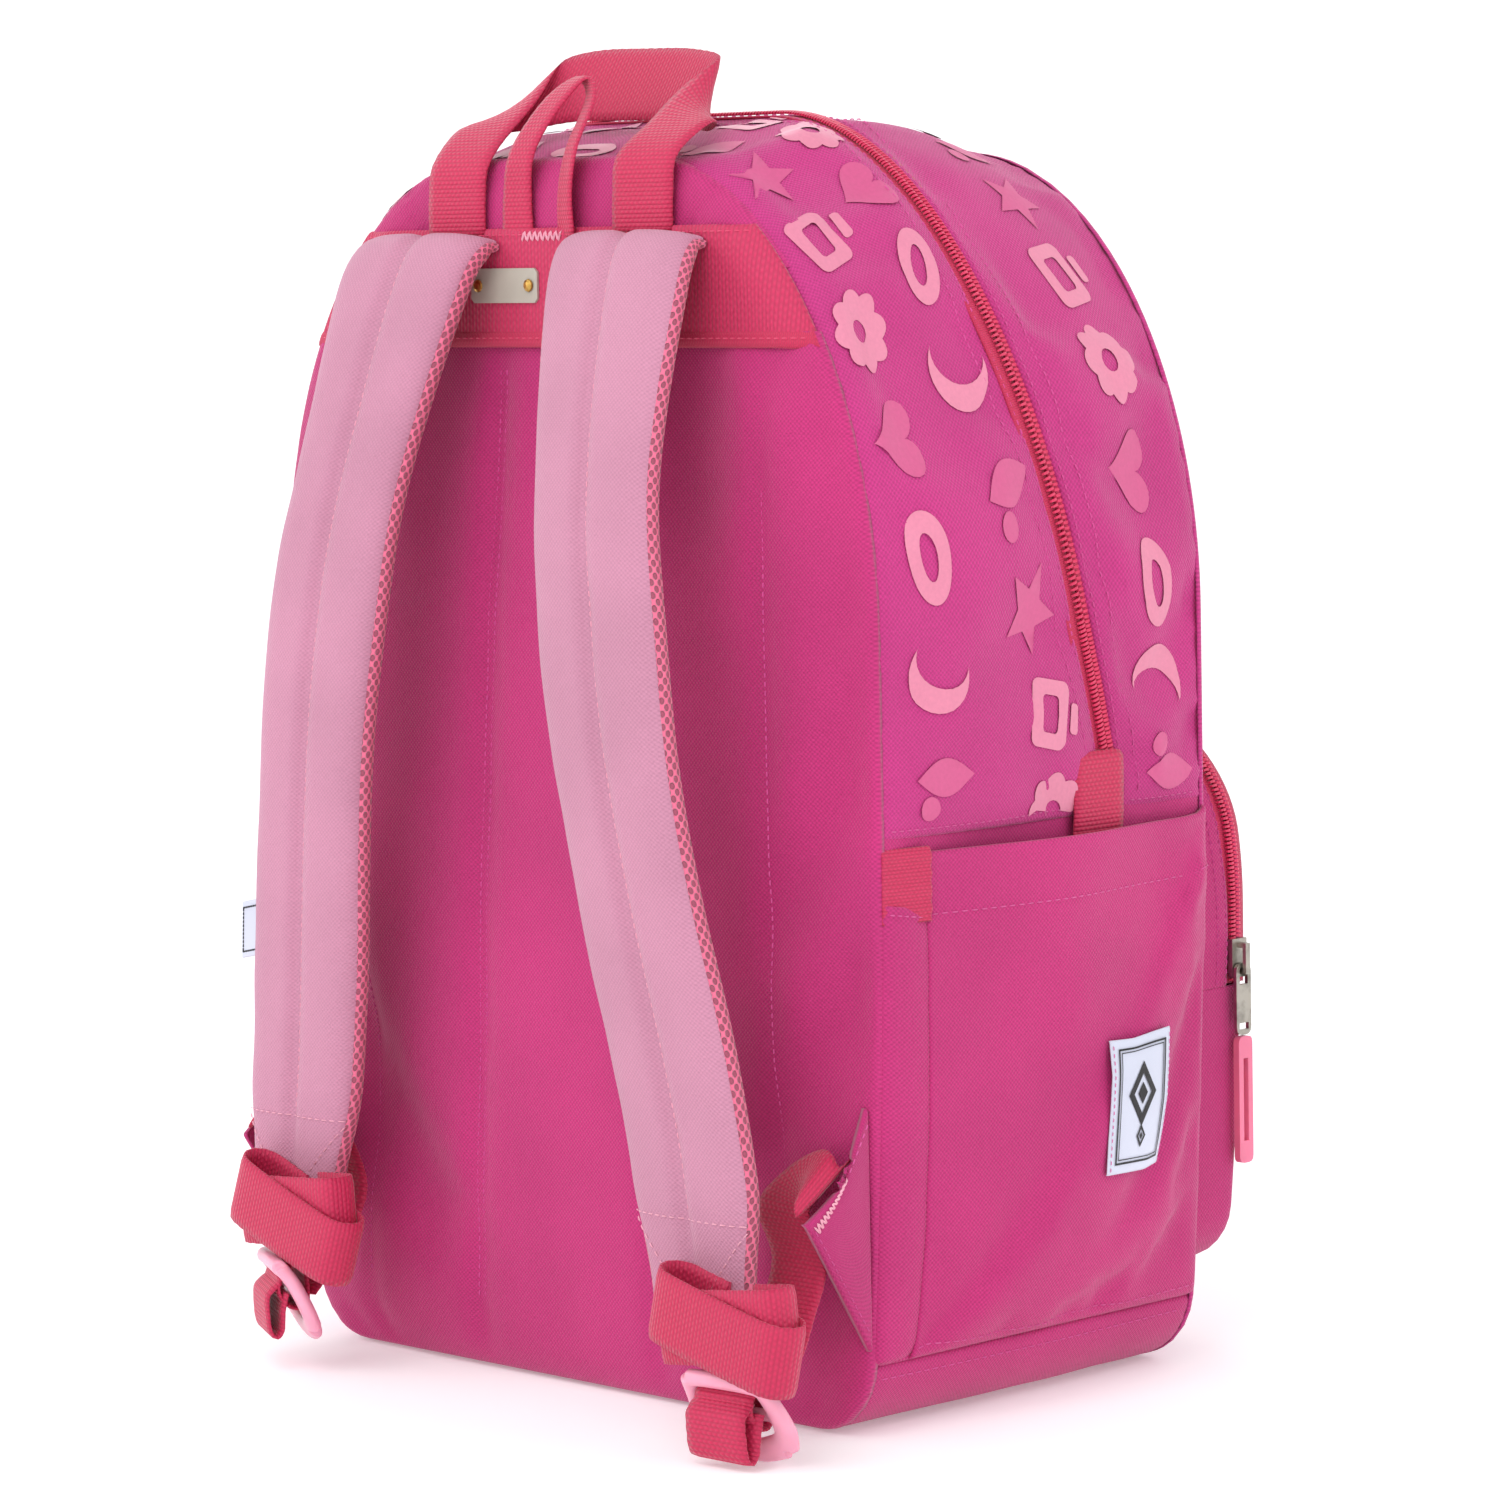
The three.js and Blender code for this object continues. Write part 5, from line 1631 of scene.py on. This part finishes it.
def strap_point(frames, w, run):
    """A point on the strap's outer cloth at distance w from its middle and run from its top."""
    lengths = [f[2] for f in frames]
    total = lengths[-1]
    i = int(np.searchsorted(lengths, run)) - 1
    i = max(0, min(len(frames) - 2, i))
    f = (run - lengths[i]) / (lengths[i + 1] - lengths[i])
    p = frames[i][0].lerp(frames[i + 1][0], f)
    out = frames[i][1].lerp(frames[i + 1][1], f).normalized()
    half = strap_half((i + f) / (len(frames) - 1))
    flat = strap_flat(run, total)
    puff = (1 - abs(w / half) ** 5) * 5.4 * flat
    groove = 3.0 * math.exp(-((w / 3.0) ** 2)) * flat
    return p + Vector((w, 0, 0)) + out * (-4.6 + puff - groove + 0.15), out


def strap_stitch(sewn, frames, a, b, pitch=3.4, length=2.4):
    span = math.hypot(b[0] - a[0], b[1] - a[1])
    count = max(1, round(span / pitch))
    for k in range(count):
        ends = []
        for t in (k / count, (k + length / pitch) / count):
            ends.append(strap_point(frames, a[0] + (b[0] - a[0]) * t, a[1] + (b[1] - a[1]) * t))
        sewn.one(ends[0][0], ends[1][0], ends[0][1], width=0.5)


def wound(name, strap, end, heights, lift):
    """One turn of webbing round the strap's end, slanting from one height to another."""
    (left, right), (a, b) = end["edges"], heights
    front, back = end["bar"][1] - 4.0 + lift, end["bar"][1] + 10
    height = lambda x: a + (b - a) * (x - left) / (right - left)
    run = [(left + 22, back), (left + 5, back), (left - 0.4 + lift, back - 4),
           (left + lift, front + 4), (left + 5, front), (left + 20, front - 0.9),
           (right - 20, front - 0.9), (right - 5, front), (right - lift, front + 4),
           (right + 0.4 - lift, back - 4), (right - 5, back), (right - 22, back)]
    path = spline([Vector((x, y, height(x))) for x, y in run], 60)
    across = Vector((a - b, 0, right - left)).normalized()
    return webbing(f"strap_wrap_{name}_{strap}", path, lambda t: across, 25)


def make_strap_end(name):
    """The webbing wound round a strap's end, its buckle, and the tail that hangs from it."""
    end = STRAP_END[name]
    bar, turn = Vector(end["bar"]), Matrix.Rotation(end["turn"], 4, "Z")
    placed = lambda points: [bar + turn @ Vector(p) for p in points]
    level = turn @ Vector((1, 0, 0))
    body = f"strap_{name}"
    over = wound("over", name, end, end["over"], 0)
    on_body(over, body, f"strap_webbing_wrap_{name}", slot="webbing")
    on_body(wound("under", name, end, end["under"], 1.9), body, slot="webbing")

    drop = placed([(0, 9, 24), (0, 6.8, 13), (0, 5.2, 4), (0, 4.8, -3.6), (0, 1.6, -7.2),
                   (0, 0.4, -11), (0, 2, -15.5), (0, 6, -18.6), (0, 10.6, -17), (0, 11, -9),
                   (0, 10, 2)])
    hold = webbing(f"buckle_holder_{name}", spline(drop, 50), lambda t: level, 25)
    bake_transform(hold)

    buckle = make_buckle(name, bar, turn)
    on_body(buckle, f"buckle_{name}", f"ladder_lock_{name}", slot="buckle_plastic")

    tail = placed([(0, 1.5, -9), (0, -1.6, -11.4), (0, -3.6, -14), (0.4, -3.8, -20),
                   (0.8, -3.2, -26), (1.2, -1.2, -28.2), (1.8, 0.8, -25.5), (2.4, 1.2, -18),
                   (2.8, 2.4, -12)])
    loop = webbing(f"webbing_tail_loop_{name}", spline(tail, 44),
                   lambda t: (level + Vector((0, 0.06 * t, -0.05 * t))).normalized(), 25)
    on_body(loop, f"buckle_{name}", f"webbing_tail_{name}", slot="webbing")


def rod(points, width, depth, sides=12):
    """A bent rod with an oval section, whose width runs from the first value to the second."""
    path = spline([Vector(p) for p in points], 14)
    flat, verts, faces = Vector((0, 1, 0)), [], []
    for i, p in enumerate(path):
        along = (path[min(len(path) - 1, i + 1)] - path[max(0, i - 1)]).normalized()
        side = along.cross(flat).normalized()
        half = width[0] + (width[1] - width[0]) * i / (len(path) - 1)
        for k in range(sides):
            angle = 2 * math.pi * k / sides
            verts.append(p + side * (half * math.cos(angle)) + flat * (depth * math.sin(angle)))
    for i in range(len(path) - 1):
        for j in range(sides):
            k = (j + 1) % sides
            a, b = i * sides, (i + 1) * sides
            faces.append((a + j, b + j, b + k, a + k))
    last = (len(path) - 1) * sides
    faces.append(tuple(range(sides))[::-1])
    faces.append(tuple(last + j for j in range(sides)))
    return verts, faces


# Each rod of the buckle: points across, out and up from the bar; half widths; half depth.
BUCKLE_RODS = [
    ([(-15.0, -1, -3.0), (-5, -1, -2.6), (5, -1, -2.6), (15.0, -1, -3.0)], (3.0, 3.0), 2.9),
    ([(-15, 0.5, -16), (0, 0.5, -16.2), (15, 0.5, -16)], (2.2, 2.2), 2.2),
    ([(-15.4, -0.8, -2.8), (-16.4, 0, -10), (-16.8, 0, -20), (-15.4, -1, -27)], (3.0, 3.8), 2.7),
    ([(15.4, -0.8, -2.8), (17.0, 0, -10), (19.2, -0.6, -20), (17.4, -1.4, -27)], (3.0, 5.2), 2.7),
    ([(-15.4, -1, -26.6), (-5, -1.6, -29.4), (6, -1.8, -29.8), (16.6, -1.4, -26.6)], (4.2, 5.2), 2.6),
]


def make_buckle(name, bar, turn):
    """A ladder-lock: a rounded frame whose arms sweep out to a wide curved lip."""
    verts, faces = [], []
    for points, width, depth in BUCKLE_RODS:
        rod_verts, rod_faces = rod(points, width, depth)
        faces += [tuple(len(verts) + i for i in face) for face in rod_faces]
        verts += rod_verts
    lean = turn @ Matrix.Rotation(BUCKLE_LEAN, 4, "X")
    moved = [bar + lean @ v for v in verts]
    obj = outward(make(f"ladder_lock_moulding_{name}", moved, faces, BUCKLE))
    remesh = obj.modifiers.new("joined", "REMESH")
    remesh.mode = "VOXEL"
    remesh.voxel_size = 0.7 * MM
    remesh.use_smooth_shade = True
    soften = obj.modifiers.new("soften", "SMOOTH")
    soften.iterations = 6
    apply_all(obj)
    return obj


def apply_all(obj):
    """Replaces the object's mesh by what its modifiers make of it."""
    graph = bpy.context.evaluated_depsgraph_get()
    graph.update()
    mesh = bpy.data.meshes.new_from_object(obj.evaluated_get(graph))
    obj.modifiers.clear()
    obj.data = mesh
    mesh.polygons.foreach_set("use_smooth", [True] * len(mesh.polygons))
    mesh.update()


# ---- Wing tabs and adjuster webbing ----
def make_wings():
    for name, side in (("right", 1), ("left", -1)):
        corner = [(-91.5, 113), (-103, 91), (-122, 78), (-91.5, 31)]

        def fn(u, v):
            a = Vector(corner[0]).lerp(Vector(corner[1]), u)
            b = Vector(corner[3]).lerp(Vector(corner[2]), u)
            q = a.lerp(b, v)
            puff = 1.6 * math.sin(math.pi * clamp01(v)) * math.sin(math.pi * clamp01(u) * 0.8)
            return Vector((side * (144.2 + puff + 1.2 * u), q.x, q.y))

        unit = Surface(lambda u, v: fn(u / 40, v / 80), (0, 40), lambda u: (0, 80),
                       lambda p: Vector((-side, 0, 0)), roll=(0, 0.8, 0.8, 0.8), wave=0.6, size=20)
        on_shell(unit.panel(f"wing_cloth_{name}", MAIN, 3, 1.9), f"wing_tab_{name}", slot="main_fabric")
        sewn = Stitches()
        sewn.on(unit, [(2, 75), (38, 75)], width=0.5)
        sewn.on(unit, [(2, 4), (36, 4)], width=0.5)
        on_shell(sewn.make(f"wing_stitches_{name}", THREAD), slot="main_fabric")
        bartack(unit, f"wing_bartack_{name}", [(37, 8), (37, 74)], (1.6, 0), pitch=0.9)

        x = abs(STRAP_END[name]["bar"][0])
        path = [Vector(p) for p in (
            (side * 141.5, -104, 92), (side * 140.6, -112, 87.5), (side * 138.5, -112, 91),
            (side * 133, -108, 92), (side * 124, -104.5, 87), (side * 116, -104, 77),
            (side * (x - 3), -107, 62), (side * (x - 2), -114, 46), (side * x, -124, 32),
            (side * x, -130 if side < 0 else -138, 26))]
        seam = Vector((0, -20, -13)).normalized()
        flat = Vector((1, 0, 0))

        def turn(t):
            return seam.lerp(flat, smooth(0.05, 0.45, t))

        strap = webbing(f"adjuster_band_{name}", spline(path, 60), turn, 25)
        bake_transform(strap)
        dressed(strap, [f"adjuster_webbing_{name}"], "webbing")


# ---- Carry handle and hang loop ----
def make_handles():
    foot_y, foot_z = -92.5, 406.8
    right = [(47, foot_y - 0.6, foot_z - 3), (48, foot_y - 1.2, foot_z + 10), (50, -92.9, 430),
             (54, -79, 442), (46, -59, 450), (24, -52, 454)]
    left = [(-24, -53, 455), (-41, -61, 451), (-43, -80, 442), (-44, -92.9, 429),
            (-46, foot_y - 1.2, foot_z + 10), (-47, foot_y - 0.6, foot_z - 3)]
    points = [Vector(p) for p in right + [(0, -51, 455)] + left]

    def turn(t):
        level = Vector((0, -0.52, -0.85))
        mixed = Vector((1, 0, 0)).lerp(level, smooth(0.32, 0.72, min(t, 1 - t) * 2))
        return mixed if t < 0.5 else Vector((-mixed.x, mixed.y, mixed.z))

    handle = webbing("carry_handle_band", spline(points, 110), turn, 29, 1.9)
    over_band(handle, "carry_handle_body", "carry_handle", slot="webbing")

    loop = [(-16, foot_y, foot_z - 4), (-15.5, foot_y - 0.5, foot_z + 10), (-12, -93.5, 432),
            (-5, -86, 448), (3, -79, 457), (11, -82, 450), (12, -92.5, 433),
            (9, foot_y - 1, foot_z + 11), (8, foot_y, foot_z - 4)]
    twist = lambda t: Vector((1, -0.25 * math.sin(math.pi * t) - 0.4 * smooth(0.4, 0.6, t), 0))
    path = spline([Vector(p) for p in loop], 60)
    ring = webbing("hang_loop_band", path, twist, 15.5, 1.5, columns=6)
    over_band(ring, "hang_loop_body", "hang_loop", slot="webbing")


# ---- CAD parts that keep their shape ----
KEPT = {
    "name_plate": PLATE, "name_plate_rivet_left": BRASS, "name_plate_rivet_right": BRASS,
    "main_slider": NICKEL, "main_puller": NICKEL, "main_pull_strap": PULL,
    "front_pocket_slider": NICKEL, "front_pocket_puller": NICKEL, "front_pocket_pull_strap": PULL,
    "back_foam": FOAM, "base_board": FOAM,
}
ROUNDED = {"main_slider": 0.5, "front_pocket_slider": 0.5, "main_puller": 0.4,
           "front_pocket_puller": 0.4, "main_pull_strap": 0.8, "front_pocket_pull_strap": 0.8,
           "name_plate": 0.25}


def dress_cad():
    for name, material in KEPT.items():
        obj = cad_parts[name]
        if obj.material_slots:
            for slot in obj.material_slots:
                slot.material = material
        else:
            obj.data.materials.append(material)
        if name in ROUNDED:
            bevel = obj.modifiers.new("rounded", "BEVEL")
            bevel.width = ROUNDED[name] * MM
            bevel.segments = 3
            bevel.limit_method = "ANGLE"
            bevel.angle_limit = math.radians(40)


# ---- Floor, light and camera ----
CAMERA = {"azimuth": 45.23, "elevation": 5.53, "distance": 1945.72, "roll": -1.14, "shift": -0.17,
          "height": 217.11, "focal": 5400 / 1500 * 36}


def make_camera():
    a, e, r = (math.radians(CAMERA[k]) for k in ("azimuth", "elevation", "roll"))
    back = Vector((math.sin(a) * math.cos(e), -math.cos(a) * math.cos(e), math.sin(e)))
    right = Vector((math.cos(a), math.sin(a), 0))
    up = back.cross(right)
    target = Vector((0, 0, CAMERA["height"])) + right * CAMERA["shift"]
    right, up = right * math.cos(r) + up * math.sin(r), up * math.cos(r) - right * math.sin(r)
    camera = bpy.data.cameras.new("camera")
    camera.lens = CAMERA["focal"]
    camera.sensor_width = 36
    camera.clip_end = 20
    obj = bpy.data.objects.new("camera", camera)
    bpy.context.collection.objects.link(obj)
    place = (target + back * CAMERA["distance"]) * MM
    obj.matrix_world = Matrix((
        (right.x, up.x, back.x, place.x), (right.y, up.y, back.y, place.y),
        (right.z, up.z, back.z, place.z), (0, 0, 0, 1)))
    bpy.context.scene.camera = obj


def area_light(name, azimuth, elevation, distance, size, power):
    light = bpy.data.lights.new(name, "AREA")
    light.shape = "DISK"
    light.size = size
    light.energy = power
    obj = bpy.data.objects.new(name, light)
    bpy.context.collection.objects.link(obj)
    a, e = math.radians(azimuth), math.radians(elevation)
    way = Vector((math.sin(a) * math.cos(e), -math.cos(a) * math.cos(e), math.sin(e)))
    obj.location = Vector((0, 0, 0.22)) + way * distance
    obj.rotation_euler = way.to_track_quat("Z", "Y").to_euler()


# Name, azimuth and elevation in degrees, distance and size in metres, and power in watts.
LIGHTS = [("key", 20, 48, 1.9, 1.2, 9), ("side", 100, 30, 2.0, 1.2, 4),
          ("back", 235, 40, 2.0, 1.4, 5), ("left", -40, 25, 2.0, 1.0, 5)]


def make_stage():
    """A pale sweep: a flat floor that curves up into a wall all the way round."""
    n = Nodes("backdrop", 0.95)
    n.colour(n.mix(n.noise(n.place(), 3.0), (0.86, 0.86, 0.87, 1), (0.89, 0.89, 0.9, 1)))
    n.set(Emission_Color=(1, 1, 1, 1), Emission_Strength=0.25)
    flat, bend, top, around = 2200, 1500, 3600, 64
    profile = [(0.1, 0), (400, 0), (1000, 0), (flat, 0)]
    profile += [(flat + bend * math.sin(a), bend - bend * math.cos(a))
                for a in (math.pi / 2 * k / 10 for k in range(1, 11))]
    profile.append((flat + bend, top))
    points = [(r * math.cos(t), r * math.sin(t), z - 0.5) for r, z in profile
              for t in (2 * math.pi * k / around for k in range(around))]
    faces = []
    for i in range(len(profile) - 1):
        for k in range(around):
            m = (k + 1) % around
            faces.append((i * around + k, (i + 1) * around + k, (i + 1) * around + m, i * around + m))
    make("backdrop", points, faces, n.material)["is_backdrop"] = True
    world = bpy.data.worlds.new("studio")
    world.use_nodes = True
    world.node_tree.nodes["Background"].inputs[0].default_value = (1, 1, 1, 1)
    world.node_tree.nodes["Background"].inputs[1].default_value = 0.8
    bpy.context.scene.world = world
    bpy.context.scene.view_settings.view_transform = "Standard"
    for light in LIGHTS:
        area_light(*light)


make_back()
make_gussets()
make_main_zip()
make_sides()
make_base()
make_front()
make_front_pocket()
make_strap("right", 1)
make_strap("left", -1)
make_wings()
make_handles()
dress_cad()
make_stage()
make_camera()

corners = lambda box: [[float(c) for c in corner] for corner in box]
{"cad": corners(CAD_BOX), "visual": corners(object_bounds())}
